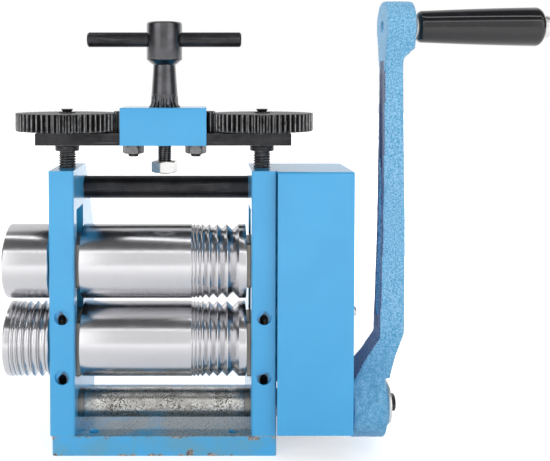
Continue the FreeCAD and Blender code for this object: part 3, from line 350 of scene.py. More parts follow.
def bar_tool(name, low, high):
    """Rectangular cutter between two corners."""
    mesh = bpy.data.meshes.new(name)
    work = bmesh.new()
    bmesh.ops.create_cube(work, size=1.0)
    for vertex in work.verts:
        vertex.co = Vector([low[i] + (vertex.co[i] + 0.5) * (high[i] - low[i]) for i in range(3)])
    work.to_mesh(mesh)
    work.free()
    return new_object(name, mesh)


def flat_large_faces(mesh):
    """Shade wide flat faces flat, so that their bevels don't tint them."""
    for polygon in mesh.polygons:
        corners = [mesh.vertices[index].co for index in polygon.vertices]
        around = sum((corners[i] - corners[i - 1]).length for i in range(len(corners)))
        if polygon.area > 0.6 * MM * around:
            polygon.use_smooth = False


def bevelled_copy(name, node, width, segments=2, limit=30.0):
    """A merged copy of a CAD node with its edges broken by a bevel."""
    mesh = frame["nodes"][node].data.copy()
    mesh.name = name
    mesh.materials.clear()
    made = new_object(name, mesh)
    work = bmesh.new()
    work.from_mesh(mesh)
    bmesh.ops.remove_doubles(work, verts=work.verts, dist=2e-6)
    bmesh.ops.dissolve_limit(work, angle_limit=math.radians(0.5), verts=work.verts, edges=work.edges)
    bmesh.ops.recalc_face_normals(work, faces=work.faces)
    work.to_mesh(mesh)
    work.free()
    modifier = made.modifiers.new("edges", "BEVEL")
    modifier.width = width
    modifier.segments = segments
    modifier.limit_method = "ANGLE"
    modifier.angle_limit = math.radians(limit)
    modifier.use_clamp_overlap = True
    mesh_with_modifiers(made)
    smooth_with_edges(made.data, 40.0)
    flat_large_faces(made.data)
    return made


# Node helpers and Geometry Nodes

def add_node(tree, kind, operation=None, values=None, links=None):
    """Add a node with its operation, its plain inputs and its linked inputs."""
    node = tree.nodes.new(kind)
    if operation:
        node.operation = operation
    for name, value in (values or {}).items():
        node.inputs[name].default_value = value
    for name, source in (links or {}).items():
        tree.links.new(source, node.inputs[name])
    return node


def math_of(tree, operation, first, second):
    """Outcome of a sum on two values. Each is a socket or a plain number."""
    node = add_node(tree, "ShaderNodeMath", operation)
    for socket, value in zip(node.inputs, (first, second)):
        if isinstance(value, float):
            socket.default_value = value
        else:
            tree.links.new(value, socket)
    return node.outputs[0]


def new_tree(name, host, part):
    """Geometry Nodes tree with a host, a part, a material and a result. host and part are (name, kind)."""
    tree = bpy.data.node_groups.new(name, "GeometryNodeTree")
    for title, kind in (host, part, ("Finish", "Material")):
        tree.interface.new_socket(name=title, in_out="INPUT", socket_type="NodeSocket" + kind)
    tree.interface.new_socket(name="Result", in_out="OUTPUT", socket_type="NodeSocketGeometry")
    return tree, tree.nodes.new("NodeGroupInput")


def set_on_points(tree, entry, points, piece, turns=None):
    """End of a tree: the piece on each point, made real, with its material."""
    links = {"Points": points, "Instance": piece}
    if turns:
        links["Rotation"] = turns
    place = add_node(tree, "GeometryNodeInstanceOnPoints", links=links)
    real = add_node(tree, "GeometryNodeRealizeInstances", links={0: place.outputs[0]})
    finish = add_node(tree, "GeometryNodeSetMaterial", links={"Geometry": real.outputs[0],
                                                              "Material": entry.outputs["Finish"]})
    add_node(tree, "NodeGroupOutput", links={0: finish.outputs[0]})
    return tree


def tooth_ring_tree():
    """Tree that turns one tooth into a full ring of Count teeth round Z."""
    tree, entry = new_tree("tooth ring", ("Tooth", "Geometry"), ("Count", "Int"))
    points = add_node(tree, "GeometryNodePoints", links={"Count": entry.outputs["Count"]})
    index = add_node(tree, "GeometryNodeInputIndex")
    share = math_of(tree, "DIVIDE", TURN, entry.outputs["Count"])
    angle = math_of(tree, "MULTIPLY", index.outputs[0], share)
    about_z = add_node(tree, "ShaderNodeCombineXYZ", links={"Z": angle})
    return set_on_points(tree, entry, points.outputs[0], entry.outputs["Tooth"], about_z.outputs[0])


def copies_tree():
    """Tree that sets one copy of Piece on every point of the host mesh."""
    tree, entry = new_tree("copies at seats", ("Seats", "Geometry"), ("Piece", "Object"))
    source = add_node(tree, "GeometryNodeObjectInfo", links={"Object": entry.outputs["Piece"]})
    return set_on_points(tree, entry, entry.outputs["Seats"], source.outputs["Geometry"])


def run_tree(made, tree, values):
    """Add a tree as a modifier, set its named inputs and turn the result into a plain mesh."""
    modifier = made.modifiers.new(tree.name, "NODES")
    modifier.node_group = tree
    for item in tree.interface.items_tree:
        if item.item_type == "SOCKET" and item.in_out == "INPUT" and item.name in values:
            modifier[item.identifier] = values[item.name]
    return mesh_with_modifiers(made)


def copies_at(name, piece, places, tree, finish):
    """Copies of a piece, modelled round the origin, at several places."""
    mesh = bpy.data.meshes.new(name)
    mesh.from_pydata([tuple(place) for place in places], [], [])
    host = run_tree(new_object(name, mesh), tree, {"Piece": piece, "Finish": finish})
    bpy.data.objects.remove(piece)
    return host


# Parts of a material

def new_material(name, colour, metallic, roughness):
    """Principled material with its plain values set on the shader's own sockets."""
    made = bpy.data.materials.new(name)
    made.use_nodes = True
    shader = made.node_tree.nodes["Principled BSDF"]
    shader.inputs["Base Color"].default_value = (*colour, 1.0)
    shader.inputs["Metallic"].default_value = metallic
    shader.inputs["Roughness"].default_value = roughness
    return made, shader


def noise(made, scale, detail=3.0, stretch=(1.0, 1.0, 1.0), roughness=0.55):
    """Noise on object coordinates. scale is in features to the metre."""
    tree = made.node_tree
    place = add_node(tree, "ShaderNodeTexCoord")
    mapping = add_node(tree, "ShaderNodeMapping", None, {"Scale": stretch}, {"Vector": place.outputs["Object"]})
    pattern = add_node(tree, "ShaderNodeTexNoise", None, {"Scale": scale, "Detail": detail, "Roughness": roughness},
                       {"Vector": mapping.outputs[0]})
    return pattern.outputs["Fac"]


def surface_value(made, name):
    """Value stored on the mesh's points under a name, 0 where a mesh has none."""
    node = made.node_tree.nodes.new("ShaderNodeAttribute")
    node.attribute_name = name
    return node.outputs["Fac"]


def ramp(made, value, low, high):
    """Spread a value between two limits to 0 and 1."""
    return add_node(made.node_tree, "ShaderNodeMapRange", None, {"From Min": low, "From Max": high},
                    {"Value": value}).outputs["Result"]


def spread(made, value, low, high):
    """Map a 0 to 1 value to a range."""
    return add_node(made.node_tree, "ShaderNodeMapRange", None, {"To Min": low, "To Max": high},
                    {"Value": value}).outputs["Result"]


def patchy(made, scale, detail, low, high):
    """Noise drawn apart into patches, from 0 to 1."""
    return ramp(made, noise(made, scale, detail), low, high)


def multiply(made, first, second):
    """Product of two values."""
    return math_of(made.node_tree, "MULTIPLY", first, second)


def greater(made, first, second):
    """The larger of two values."""
    return math_of(made.node_tree, "MAXIMUM", first, second)


def added(made, first, second, share):
    """First value plus a share of the second."""
    return add_node(made.node_tree, "ShaderNodeMath", "MULTIPLY_ADD", {1: share}, {0: second, 2: first}).outputs[0]


def height_between(made, low, high):
    """1 below the low height and 0 above the high one, in metres on object coordinates."""
    place = add_node(made.node_tree, "ShaderNodeTexCoord")
    split = add_node(made.node_tree, "ShaderNodeSeparateXYZ", None, None, {0: place.outputs["Object"]})
    return ramp(made, split.outputs["Z"], high, low)


def blended(made, share, first, second):
    """Colour between two colours, which are sockets or plain colours."""
    node = made.node_tree.nodes.new("ShaderNodeMix")
    node.data_type = "RGBA"
    made.node_tree.links.new(share, node.inputs["Factor"])
    for socket, value in ((node.inputs[6], first), (node.inputs[7], second)):
        if isinstance(value, tuple):
            socket.default_value = (*value, 1.0)
        else:
            made.node_tree.links.new(value, socket)
    return node.outputs[2]


def worn_edges(made, radius, low, high):
    """1 along edges that a bevel of this radius would round, broken up by noise."""
    tree = made.node_tree
    soft = add_node(tree, "ShaderNodeBevel", None, {"Radius": radius})
    soft.samples = 4
    sharp = add_node(tree, "ShaderNodeNewGeometry")
    product = add_node(tree, "ShaderNodeVectorMath", "DOT_PRODUCT", None,
                       {0: soft.outputs["Normal"], 1: sharp.outputs["Normal"]})
    edge = ramp(made, product.outputs["Value"], 0.995, 0.90)
    return multiply(made, edge, patchy(made, 220, 6.0, low, high))


def rubbed_grey(made, colour, low, high):
    """Colour rubbed to bare grey along edges and on marked crests."""
    wear = worn_edges(made, 0.5 * MM, low, high)
    crests = multiply(made, surface_value(made, "wear"), patchy(made, 300, 4.0, 0.30, 0.52))
    return blended(made, greater(made, wear, crests), colour, (0.34, 0.34, 0.34))


def dress(made, shader, colour, rough, height=None, distance=0.0, strength=1.0):
    """Link a colour, a roughness and a height to the shader."""
    link = made.node_tree.links.new
    if colour:
        link(colour, shader.inputs["Base Color"])
    link(rough, shader.inputs["Roughness"])
    if height:
        bump = add_node(made.node_tree, "ShaderNodeBump", None, {"Distance": distance, "Strength": strength},
                        {"Height": height})
        link(bump.outputs[0], shader.inputs["Normal"])
    return made


# Materials

def blue_paint():
    """Gloss blue enamel on machined plates. The base is stained, dusty on top and chipped at its edges; painted
    shade darkens the inside of the oil holes.
    """
    made, shader = new_material("blue_paint", BLUE, 0.0, 0.42)
    shader.inputs["Coat Weight"].default_value = 0.72
    shader.inputs["Coat Roughness"].default_value = 0.06
    colour = blended(made, patchy(made, 28, 2.0, 0.35, 0.65), BLUE, BLUE_DEEP)
    base_band = height_between(made, BASE_TOP + 0.2 * MM, BASE_TOP + 0.5 * MM)
    top_band = multiply(made, base_band, height_between(made, BASE_TOP, BASE_TOP - 0.3 * MM))
    stained = multiply(made, patchy(made, 60, 5.0, 0.36, 0.62), base_band)
    colour = blended(made, stained, colour, BLUE_STAINED)
    dusty = multiply(made, patchy(made, 45, 4.0, 0.34, 0.56), top_band)
    colour = blended(made, dusty, colour, (0.30, 0.40, 0.47))
    grains = ramp(made, noise(made, 850, 3.0, roughness=0.7), 0.52, 0.60)
    grime = multiply(made, multiply(made, grains, top_band), patchy(made, 32, 3.0, 0.36, 0.52))
    colour = blended(made, grime, colour, (0.035, 0.035, 0.04))
    low_edge = height_between(made, 0.0, 4.5 * MM)
    high_edge = height_between(made, BASE_TOP, BASE_TOP - 3.6 * MM)
    edge = multiply(made, greater(made, low_edge, high_edge), base_band)
    chips = ramp(made, added(made, noise(made, 120, 5.0), edge, 0.20), 0.715, 0.735)
    chips = multiply(made, chips, height_between(made, BASE_TOP - 0.3 * MM, BASE_TOP))
    rust = blended(made, patchy(made, 900, 3.0, 0.42, 0.58), (0.36, 0.34, 0.33), (0.09, 0.055, 0.04))
    colour = blended(made, chips, colour, rust)
    worn = multiply(made, worn_edges(made, 0.8 * MM, 0.60, 0.66), patchy(made, 30, 2.0, 0.56, 0.62))
    colour = blended(made, worn, colour, rust)
    # Painted shade: the points inside the oil holes are coloured near black.
    colour = blended(made, surface_value(made, "recess_shade"), colour, (0.010, 0.016, 0.024))
    return dress(made, shader, colour, spread(made, noise(made, 120), 0.34, 0.50), noise(made, 700, 2.0),
                 0.00004, 0.35)


def cast_paint():
    """Blue paint over a sand casting: a fine grain and pits, with painted shade on its -X side and in the recess on
    that side.
    """
    made, shader = new_material("cast_paint", BLUE, 0.0, 0.45)
    grain = noise(made, 1050, 3.0, roughness=0.7)
    speckle = ramp(made, grain, 0.42, 0.58)
    colour = blended(made, speckle, (0.060, 0.340, 0.625), (0.33, 0.64, 0.90))
    hub = multiply(made, height_between(made, 0.052, 0.095), patchy(made, 260, 4.0, 0.20, 0.75))
    colour = blended(made, hub, colour, (0.055, 0.290, 0.530))
    colour = blended(made, patchy(made, 600, 2.0, 0.68, 0.74), colour, (0.05, 0.20, 0.42))
    rubbed = multiply(made, patchy(made, 420, 5.0, 0.48, 0.58), worn_edges(made, 1.6 * MM, 0.35, 0.5))
    colour = blended(made, rubbed, colour, (0.52, 0.56, 0.76))
    # Painted shade: the -X side takes a darker speckled navy and grey in place of the lit blue.
    rough = blended(made, speckle, (0.030, 0.085, 0.20), (0.24, 0.25, 0.40))
    colour = blended(made, surface_value(made, "inner"), colour, rough)
    # Painted shade: the floor of the recess on the -X side is coloured dark navy.
    colour = blended(made, surface_value(made, "recess_shade"), colour, (0.018, 0.055, 0.150))
    return dress(made, shader, colour, spread(made, grain, 0.34, 0.60), grain, 0.00045, 0.9)


def ground_steel():
    """Ground and polished roll steel with faint rings round the axis."""
    made, shader = new_material("ground_steel", (0.50, 0.50, 0.51), 1.0, 0.22)
    rings = noise(made, 1.0, 4.0, (5200.0, 90.0, 90.0), 0.7)
    broad = noise(made, 1.0, 2.0, (90.0, 30.0, 30.0))
    colour = blended(made, ramp(made, rings, 0.2, 0.8), (0.505, 0.502, 0.518), (0.600, 0.597, 0.615))
    colour = blended(made, patchy(made, 1100, 2.0, 0.72, 0.75), colour, (0.22, 0.21, 0.20))
    return dress(made, shader, colour, spread(made, broad, 0.17, 0.27), rings, 0.000006, 0.4)


def shaft_steel():
    """Turned shaft steel under a film of dark rust freckles."""
    made, shader = new_material("shaft_steel", (0.42, 0.41, 0.39), 1.0, 0.30)
    freckles = ramp(made, noise(made, 1000, 4.0, roughness=0.8), 0.50, 0.56)
    stain = patchy(made, 130, 5.0, 0.40, 0.70)
    steel = blended(made, stain, (0.56, 0.56, 0.54), (0.36, 0.35, 0.33))
    spots = multiply(made, freckles, patchy(made, 45, 4.0, 0.34, 0.58))
    colour = blended(made, spots, steel, (0.040, 0.034, 0.028))
    return dress(made, shader, colour, spread(made, stain, 0.24, 0.44), freckles, 0.00002, 0.5)


def black_steel():
    """Black oxide with painted sheen in streaks along X, rubbed grey along edges and on the crests of teeth and
    threads.
    """
    made, shader = new_material("black_steel", (0.024, 0.024, 0.027), 0.85, 0.30)
    dark = blended(made, patchy(made, 90, 4.0, 0.3, 0.7), (0.018, 0.018, 0.020), (0.042, 0.042, 0.046))
    # Painted sheen: lighter streaks along X stand in for highlights on the black steel.
    sheen_streaks = ramp(made, noise(made, 1.0, 4.0, (40.0, 900.0, 900.0), 0.6), 0.56, 0.72)
    dark = blended(made, sheen_streaks, dark, (0.080, 0.080, 0.085))
    return dress(made, shader, rubbed_grey(made, dark, 0.36, 0.58), spread(made, noise(made, 260, 4.0), 0.34, 0.50),
                 noise(made, 900, 2.0), 0.00002, 0.5)


def turned_black_steel():
    """Black oxide over a smooth turned surface, with faint rings round Z. Soft bands show on it."""
    made, shader = new_material("turned_black_steel", (0.09, 0.09, 0.095), 0.95, 0.24)
    rings = noise(made, 1.0, 4.0, (60.0, 60.0, 2600.0), 0.6)
    colour = blended(made, rings, (0.070, 0.070, 0.076), (0.130, 0.130, 0.138))
    colour = blended(made, patchy(made, 160, 4.0, 0.40, 0.64), colour, (0.075, 0.075, 0.080))
    colour = rubbed_grey(made, colour, 0.40, 0.62)
    return dress(made, shader, colour, spread(made, noise(made, 260, 4.0), 0.17, 0.30), rings, 0.000008, 0.4)


def oiled_steel():
    """Plain machined steel of the covered gears."""
    made, shader = new_material("oiled_steel", (0.30, 0.30, 0.31), 1.0, 0.32)
    return dress(made, shader, None, spread(made, noise(made, 300, 4.0), 0.24, 0.42))


def mottled_metal(name, plain, metallic, roughness, scale, dark, light, rough, wear=None):
    """Plated, oxidised or oil soaked metal with a fine mottle, worn along its edges if wear is a colour."""
    made, shader = new_material(name, plain, metallic, roughness)
    mottle = noise(made, scale, 4.0)
    colour = blended(made, mottle, dark, light)
    if wear:
        colour = blended(made, worn_edges(made, 0.5 * MM, 0.36, 0.58), colour, wear)
    return dress(made, shader, colour, spread(made, mottle, *rough))


def black_grip():
    """Polished black grip with fine turning rings and a few scuffs."""
    made, shader = new_material("black_grip", (0.012, 0.012, 0.014), 0.0, 0.12)
    scuffs = patchy(made, 160, 6.0, 0.55, 0.80)
    colour = blended(made, scuffs, (0.011, 0.011, 0.013), (0.022, 0.022, 0.025))
    return dress(made, shader, colour, spread(made, scuffs, 0.05, 0.15), noise(made, 1.0, 2.0, (900.0, 20.0, 20.0)),
                 0.00001, 0.15)


paint = blue_paint()
cast = cast_paint()
roll_steel = ground_steel()
bar_steel = shaft_steel()
black = black_steel()
black_bright = turned_black_steel()
grey = mottled_metal("grey_steel", (0.16, 0.16, 0.165), 0.95, 0.30, 500, (0.08, 0.08, 0.085), (0.26, 0.26, 0.265),
                     (0.24, 0.42), wear=(0.45, 0.45, 0.45))
oiled = oiled_steel()
zinc = mottled_metal("bright_zinc", (0.66, 0.66, 0.64), 0.8, 0.30, 420, (0.56, 0.56, 0.54), (0.72, 0.72, 0.71),
                     (0.26, 0.42))
bronze = mottled_metal("bearing_bronze", (0.24, 0.22, 0.19), 1.0, 0.38, 240, (0.17, 0.155, 0.135),
                       (0.31, 0.29, 0.26), (0.30, 0.48))
grip_black = black_grip()
FINISHES = {"frame_paint": paint, "cast_paint": cast, "roll_steel": roll_steel, "shaft_steel": bar_steel,
            "black_steel": black, "gear_steel": oiled, "zinc": zinc, "bronze": bronze, "grip": grip_black}
SLOTS = {finish: slot for slot, finish in FINISHES.items()}
SLOTS.update({black_bright: "black_steel", grey: "black_steel"})
tooth_ring = tooth_ring_tree()
seat_copies = copies_tree()


def seat(made, finish, body, *nodes):
    """Give a piece its material and body, and hide the CAD nodes that it stands for."""
    made.data.materials.clear()
    made.data.materials.append(finish)
    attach(made, body)
    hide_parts(*nodes)
    return made


# Rolls and bars

def roll_outline(x_left, x_right):
    """Turned outline of a roll from its left stub to its right end, without points on the axis."""
    low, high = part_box("lower_roll")
    radius = (high.z - low.z) / 2
    journal = abs(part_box("left_side_frame")[0].x) + 0.7 * MM
    outline = [(x_left, STUB_RADIUS), (-journal, STUB_RADIUS), (-journal, JOURNAL_RADIUS),
               (-ROLL_HALF_LENGTH, JOURNAL_RADIUS), (-ROLL_HALF_LENGTH, radius)]
    x = ROLL_HALF_LENGTH - V_COLLAR - sum(V_GROOVES) - V_LAND * len(V_GROOVES)
    for width in V_GROOVES:
        outline += [(x, radius), (x + width / 2, radius - width / 2), (x + width, radius)]
        x += width + V_LAND
    outline += [(ROLL_HALF_LENGTH, radius), (ROLL_HALF_LENGTH, JOURNAL_RADIUS), (journal, JOURNAL_RADIUS),
                (journal, STUB_RADIUS), (x_right, STUB_RADIUS)]
    return outline


def rolls():
    """Both rolls, ground and grooved."""
    gear_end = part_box("upper_roll_gear")[1].x
    for side in ("lower", "upper"):
        low, _, middle = box_of(side + "_roll")
        made = turned(side + "_roll_ground", "X", middle, roll_outline(low.x, gear_end), 128, ease=0.16 * MM)
        seat(made, roll_steel, side + "_roll_set", side + "_roll")


def side_rolls():
    """Outboard rolls, the lower with half round grooves, each with a washer and screw in its recess."""
    for side in ("lower", "upper"):
        low, high, middle = box_of(side + "_side_roll")
        radius = (high.z - low.z) / 2
        chamfer = SIDE_ROLL_CHAMFER
        bearing = low.x + SIDE_ROLL_RECESS
        outline = [(high.x, STUB_RADIUS), (high.x, radius - chamfer), (high.x - chamfer, radius)]
        x = high.x - ROUND_COLLAR
        for width in ROUND_GROOVES if side == "lower" else []:
            for step in range(ROUND_STEPS + 1):
                angle = math.pi * step / ROUND_STEPS
                outline.append((x - width / 2 * (1 - math.cos(angle)), radius - width / 2 * math.sin(angle)))
            x -= width + ROUND_LAND
        outline += [(low.x + chamfer, radius), (low.x, radius - chamfer), (low.x, WASHER_RADIUS),
                    (bearing, WASHER_RADIUS), (bearing, STUB_RADIUS)]
        made = turned(side + "_side_roll_ground", "X", middle, outline, 128, closed=True, ease=0.12 * MM)
        seat(made, roll_steel, side + "_roll_set", side + "_side_roll")
        low, high, middle = box_of(side + "_side_roll_screw")
        under = bearing - WASHER_HEIGHT
        washer = collar("washer", "X", middle, under, bearing, BOLT_RADIUS + 0.05 * MM, WASHER_RADIUS - 0.1 * MM)
        head = hexagon_piece("head", "X", middle, low.x, under, BOLT_FLATS)
        shank = turned("shank", "X", middle, [(under, BOLT_RADIUS), (high.x, BOLT_RADIUS)], 32)
        made = joined(side + "_side_roll_screw_cut", [washer, head, shank])
        seat(made, black, side + "_roll_set", side + "_side_roll_screw")


def shaft_and_bars():
    """Crank shaft with its eased shoulders, and the black tie bar."""
    low, high, middle = box_of("crank_shaft")
    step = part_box("left_crank_bush")[1].x + 0.1 * MM
    journal, full = 7.0 * MM, 9.5 * MM
    outline = [(low.x, journal - 2.2 * MM), (low.x + 2.2 * MM, journal), (step, journal), (step, full),
               (-step, full), (-step, journal), (high.x, journal)]
    seat(turned("crank_shaft_turned", "X", middle, outline, 80), bar_steel, "crank", "crank_shaft")
    low, high, middle = box_of("tie_bar")
    radius = (high.z - low.z) / 2
    made = turned("tie_bar_turned", "X", middle, [(low.x, radius), (high.x, radius)], 80)
    seat(made, black, "frame", "tie_bar")


# Painted plates and the cast arm

def oil_hole_depth(node):
    """Value that is 1 on the points inside a frame's two oil holes, where the paint draws painted shade."""
    low, _, middle = box_of(node)

    def depth_at(vertex):
        aside = vertex.co.x - middle.x
        inwards = vertex.co.y - low.y
        for height in OIL_HEIGHTS:
            across = math.hypot(aside, vertex.co.z - height + inwards * math.tan(OIL_SLOPE))
            if 0.5 * MM < inwards < 25 * MM and across < 3.9 * MM and abs(aside) < 2.8 * MM:
                return 1.0
        return 0.0

    return depth_at


def plates():
    """Frames, base, gear cover, bridge cover and crossbar with broken edges."""
    for node, body, width in (("base_plate", "frame", 0.45), ("left_side_frame", "frame", 0.4),
                              ("right_side_frame", "frame", 0.4), ("gear_cover", "frame", 0.35),
                              ("bridge_cover", "bridge", 0.35)):
        made = bevelled_copy(node + "_painted", node, width * MM)
        if "side_frame" in node:
            # Points inside the oil holes, which the paint colours dark as painted shade.
            mark(made, "recess_shade", oil_hole_depth(node))
        seat(made, paint, body, node)
    seat(bevelled_copy("crossbar_sawn", "crossbar", 0.4 * MM), black, "bridge", "crossbar")


def crank_casting():
    """The arm as a casting: remeshed, softened, its faces drafted and slightly uneven."""
    made = bevelled_copy("crank_arm_cast", "crank_arm", 1.2 * MM, 3, 35.0)
    remesh = made.modifiers.new("skin", "REMESH")
    remesh.mode = "VOXEL"
    remesh.voxel_size = 0.85 * MM
    soften = made.modifiers.new("soften", "SMOOTH")
    soften.factor = 0.5
    soften.iterations = 3
    pattern = bpy.data.textures.new("casting", "CLOUDS")
    pattern.noise_scale = 3.0 * MM
    pattern.noise_depth = 2
    uneven = made.modifiers.new("uneven", "DISPLACE")
    uneven.texture = pattern
    uneven.texture_coords = "LOCAL"
    uneven.strength = 0.45 * MM
    uneven.mid_level = 0.55
    mesh_with_modifiers(made)
    low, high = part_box("crank_arm")
    axis = box_of("crank_shaft")[2]
    seat_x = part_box("crank_washer")[0].x
    boss_z = box_of("handle_spindle")[2].z
    for vertex in made.data.vertices:
        point = vertex.co
        beyond = math.hypot(point.y - axis.y, point.z - axis.z) - HUB_SEAT_RADIUS
        along = point.x - seat_x + HUB_DRAFT_LENGTH
        if along > 0 and beyond > 0 and point.z < axis.z + 22 * MM:
            point.x -= HUB_DRAFT * min(1.0, along / HUB_DRAFT_LENGTH) * min(1.0, beyond / (0.8 * MM))
        point.x -= STEM_DRAFT * min(1.0, max(0.0, (point.z - 0.150) / 0.110))
        if point.x > high.x - 6 * MM and point.z > boss_z - 22 * MM:
            point.x -= 0.8 * MM
        for index in range(3):
            point[index] = min(max(point[index], low[index]), high[index])
    for polygon in made.data.polygons:
        polygon.use_smooth = True
    inner_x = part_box("gear_cover")[1].x + 3 * MM

    # Points of the -X side that the paint colours darker as painted shade.
    def shaded_side_at(vertex):
        place = vertex.co
        between = axis.z + 16 * MM < place.z < boss_z - 30 * MM and place.x > inner_x
        return 1.0 if vertex.normal.x < -0.55 and between else 0.0

    # Points of the recess floor on the -X side, coloured dark as painted shade.
    def recess_shade_at(vertex):
        place = vertex.co
        between = 0.080 < place.z < 0.260 and abs(place.y - axis.y) < 5.4 * MM
        return 1.0 if vertex.normal.x < -0.6 and between else 0.0

    mark(made, "inner", shaded_side_at)
    mark(made, "recess_shade", recess_shade_at)
    seat(made, cast, "crank", "crank_arm")


# Gears of the gap setting

def gear_angles(teeth):
    """Half angles of a tooth at its root, middle and tip, as (radius, angle) pairs."""
    pitch = teeth * GEAR_MODULE / 2
    base = pitch * math.cos(PRESSURE_ANGLE)
    tip = pitch + GEAR_MODULE
    root = pitch - 1.25 * GEAR_MODULE
    half = (math.pi * GEAR_MODULE / 2 - GEAR_BACKLASH) / (2 * pitch)

    def involute(radius):
        turn = math.sqrt(max(0.0, (radius / base) ** 2 - 1))
        return turn - math.atan(turn)

    return [(radius, half + involute(pitch) - involute(radius))
            for radius in (root, (root + pitch) / 2, pitch, (pitch + tip) / 2, tip)]


def one_tooth(name, teeth, bottom, top):
    """One tooth along +X with small chamfers at its ends and tips, its foot inside the gear's body."""
    sides = gear_angles(teeth)
    tip, tip_half = sides[-1]
    foot = (sides[0][0] - 0.5 * MM, sides[0][1])
    ease = 0.14 * MM
    chamfer = TOOTH_CHAMFER
    outline = [foot] + sides[:-1] + [(tip - ease, tip_half), (tip, tip_half - ease / tip),
                                     (tip, tip_half * 0.45)]
    rings = []
    for height, draw in ((bottom, chamfer), (bottom + chamfer, 0.0), (top - chamfer, 0.0), (top, chamfer)):
        row = []
        for sign, points in ((-1, outline), (1, list(reversed(outline)))):
            for radius, half in points:
                size = max(foot[0], radius - draw)
                row.append((size * math.cos(half), sign * size * math.sin(half), height))
        rings.append(row)
    return from_rings(name, rings)


def tooth_wear(made, teeth, centre):
    """Mark the long edges of the teeth's tips, where the black is rubbed off."""
    tip, tip_half = gear_angles(teeth)[-1]

    def wear_at(vertex):
        across, along = vertex.co.x - centre.x, vertex.co.y - centre.y
        angle = math.atan2(along, across)
        part = abs((angle + math.pi / teeth) % (TURN / teeth) - math.pi / teeth)
        return 1.0 if math.hypot(across, along) > tip - 0.3 * MM and part > tip_half * 0.6 else 0.0

    mark(made, "wear", wear_at)


def spur_gear(name, teeth, centre, bottom, top, bore):
    """Gear along Z: a turned body with a ring of teeth round it."""
    root = gear_angles(teeth)[0][0]
    ease = TOOTH_CHAMFER
    outline = [(bottom, bore), (bottom, root - ease), (bottom + ease, root), (top - ease, root),
               (top, root - ease), (top, bore)]
    body = turned(name + "_body", "Z", Vector((0, 0, 0)), outline, max(teeth * 4, 64), closed=True,
                  ease=0.15 * MM)
    teeth_made = run_tree(one_tooth(name + "_teeth", teeth, bottom, top), tooth_ring,
                          {"Count": teeth, "Finish": black})
    made = joined(name, [body, teeth_made])
    made.data.transform(Matrix.Translation((centre.x, centre.y, 0)))
    smooth_with_edges(made.data, 28.0)
    tooth_wear(made, teeth, centre)
    return made


def pin_x():
    """Distance of the idler pins' axes from the middle of the machine."""
    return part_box("idler_pins")[1].x - PIN_RADIUS


def adjusting_train():
    """The two large gears and the two idlers. An odd number of teeth puts a box's middle beside its axis."""
    boss = 1.2 * MM
    for side, sign in (("left", -1), ("right", 1)):
        low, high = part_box(side + "_adjusting_gear")
        centre = box_of(side + "_pressure_screw")[2]
        gear = spur_gear(side + "_adjusting_gear_cut", 53, centre, low.z + 1.0 * MM, high.z, 4.0 * MM)
        foot = collar(side + "_boss", "Z", centre, low.z, low.z + boss, 4.0 * MM, 9.0 * MM, 64, 0.1 * MM)
        made = joined(side + "_adjusting_gear_whole", [gear, foot])
        seat(made, black, side + "_screw", side + "_adjusting_gear")
        low, high, middle = box_of(side + "_idler_gear")
        made = spur_gear(side + "_idler_gear_cut", 19, Vector((sign * pin_x(), middle.y, 0)), low.z, high.z,
                         PIN_RADIUS + 0.05 * MM)
        seat(made, black, side + "_idler", side + "_idler_gear")


# Screws, nuts and small parts

def pressure_screws():
    """Threaded screws with neck, collar and stem."""
    for side in ("left", "right"):
        low, high, middle = box_of(side + "_pressure_screw")
        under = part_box("crossbar")[0].z - 0.1 * MM
        shoulder = under - 4.5 * MM
        thread_top = shoulder - 2.2 * MM
        thread_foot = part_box("left_side_frame")[1].z - 8.0 * MM
        stem_top = under + 8.2 * MM
        neck, wide, stem, drive = 5.3 * MM, 8.15 * MM, 5.0 * MM, 3.9 * MM
        tip = SCREW_RADIUS - 0.1 * MM
        upper = turned(side + "_stem", "Z", middle,
                       [(thread_top - 0.2 * MM, neck), (shoulder, neck), (shoulder, wide), (under, wide),
                        (under, stem), (stem_top, stem), (stem_top, drive), (high.z, drive)], 64)
        lower = turned(side + "_tip", "Z", middle,
                       [(low.z, SCREW_RADIUS - 1.2 * MM), (low.z + 1.2 * MM, tip), (thread_foot, tip)], 48)
        thread = threaded(side + "_thread", middle, thread_foot, thread_top, SCREW_RADIUS, SCREW_PITCH)
        made = joined(side + "_pressure_screw_cut", [lower, thread, upper])
        crest_wear(made, middle, thread_foot, thread_top - 0.3 * MM, SCREW_RADIUS, SCREW_PITCH)
        seat(made, black, side + "_screw", side + "_pressure_screw")


def gear_fastenings():
    """Washer and small slotted screw on top of each adjusting gear."""
    for side in ("left", "right"):
        low, high, middle = box_of(side + "_gear_washer")
        washer = collar(side + "_gear_washer_pressed", "Z", middle, low.z, high.z, 2.5 * MM, 5.6 * MM, 48, 0.2 * MM)
        seat(washer, black, side + "_screw", side + "_gear_washer")
        bottom = high.z
        low, high, middle = box_of(side + "_gear_screw")
        shank, head = 2.4 * MM, 3.9 * MM
        made = turned(side + "_gear_screw_cut", "Z", middle,
                      [(low.z, shank), (bottom, shank), (bottom, head - 1.0 * MM), (high.z - 0.6 * MM, head),
                       (high.z - 0.15 * MM, head), (high.z, head - 0.6 * MM)], 48, ease=0.15 * MM)
        reach, half, past = 5 * MM, 0.7 * MM, 1 * MM
        cut(made, bar_tool("slot", (middle.x - reach, middle.y - half, high.z - 0.9 * MM),
                           (middle.x + reach, middle.y + half, high.z + past)))
        smooth_with_edges(made.data)
        seat(made, black, side + "_screw", side + "_gear_screw")


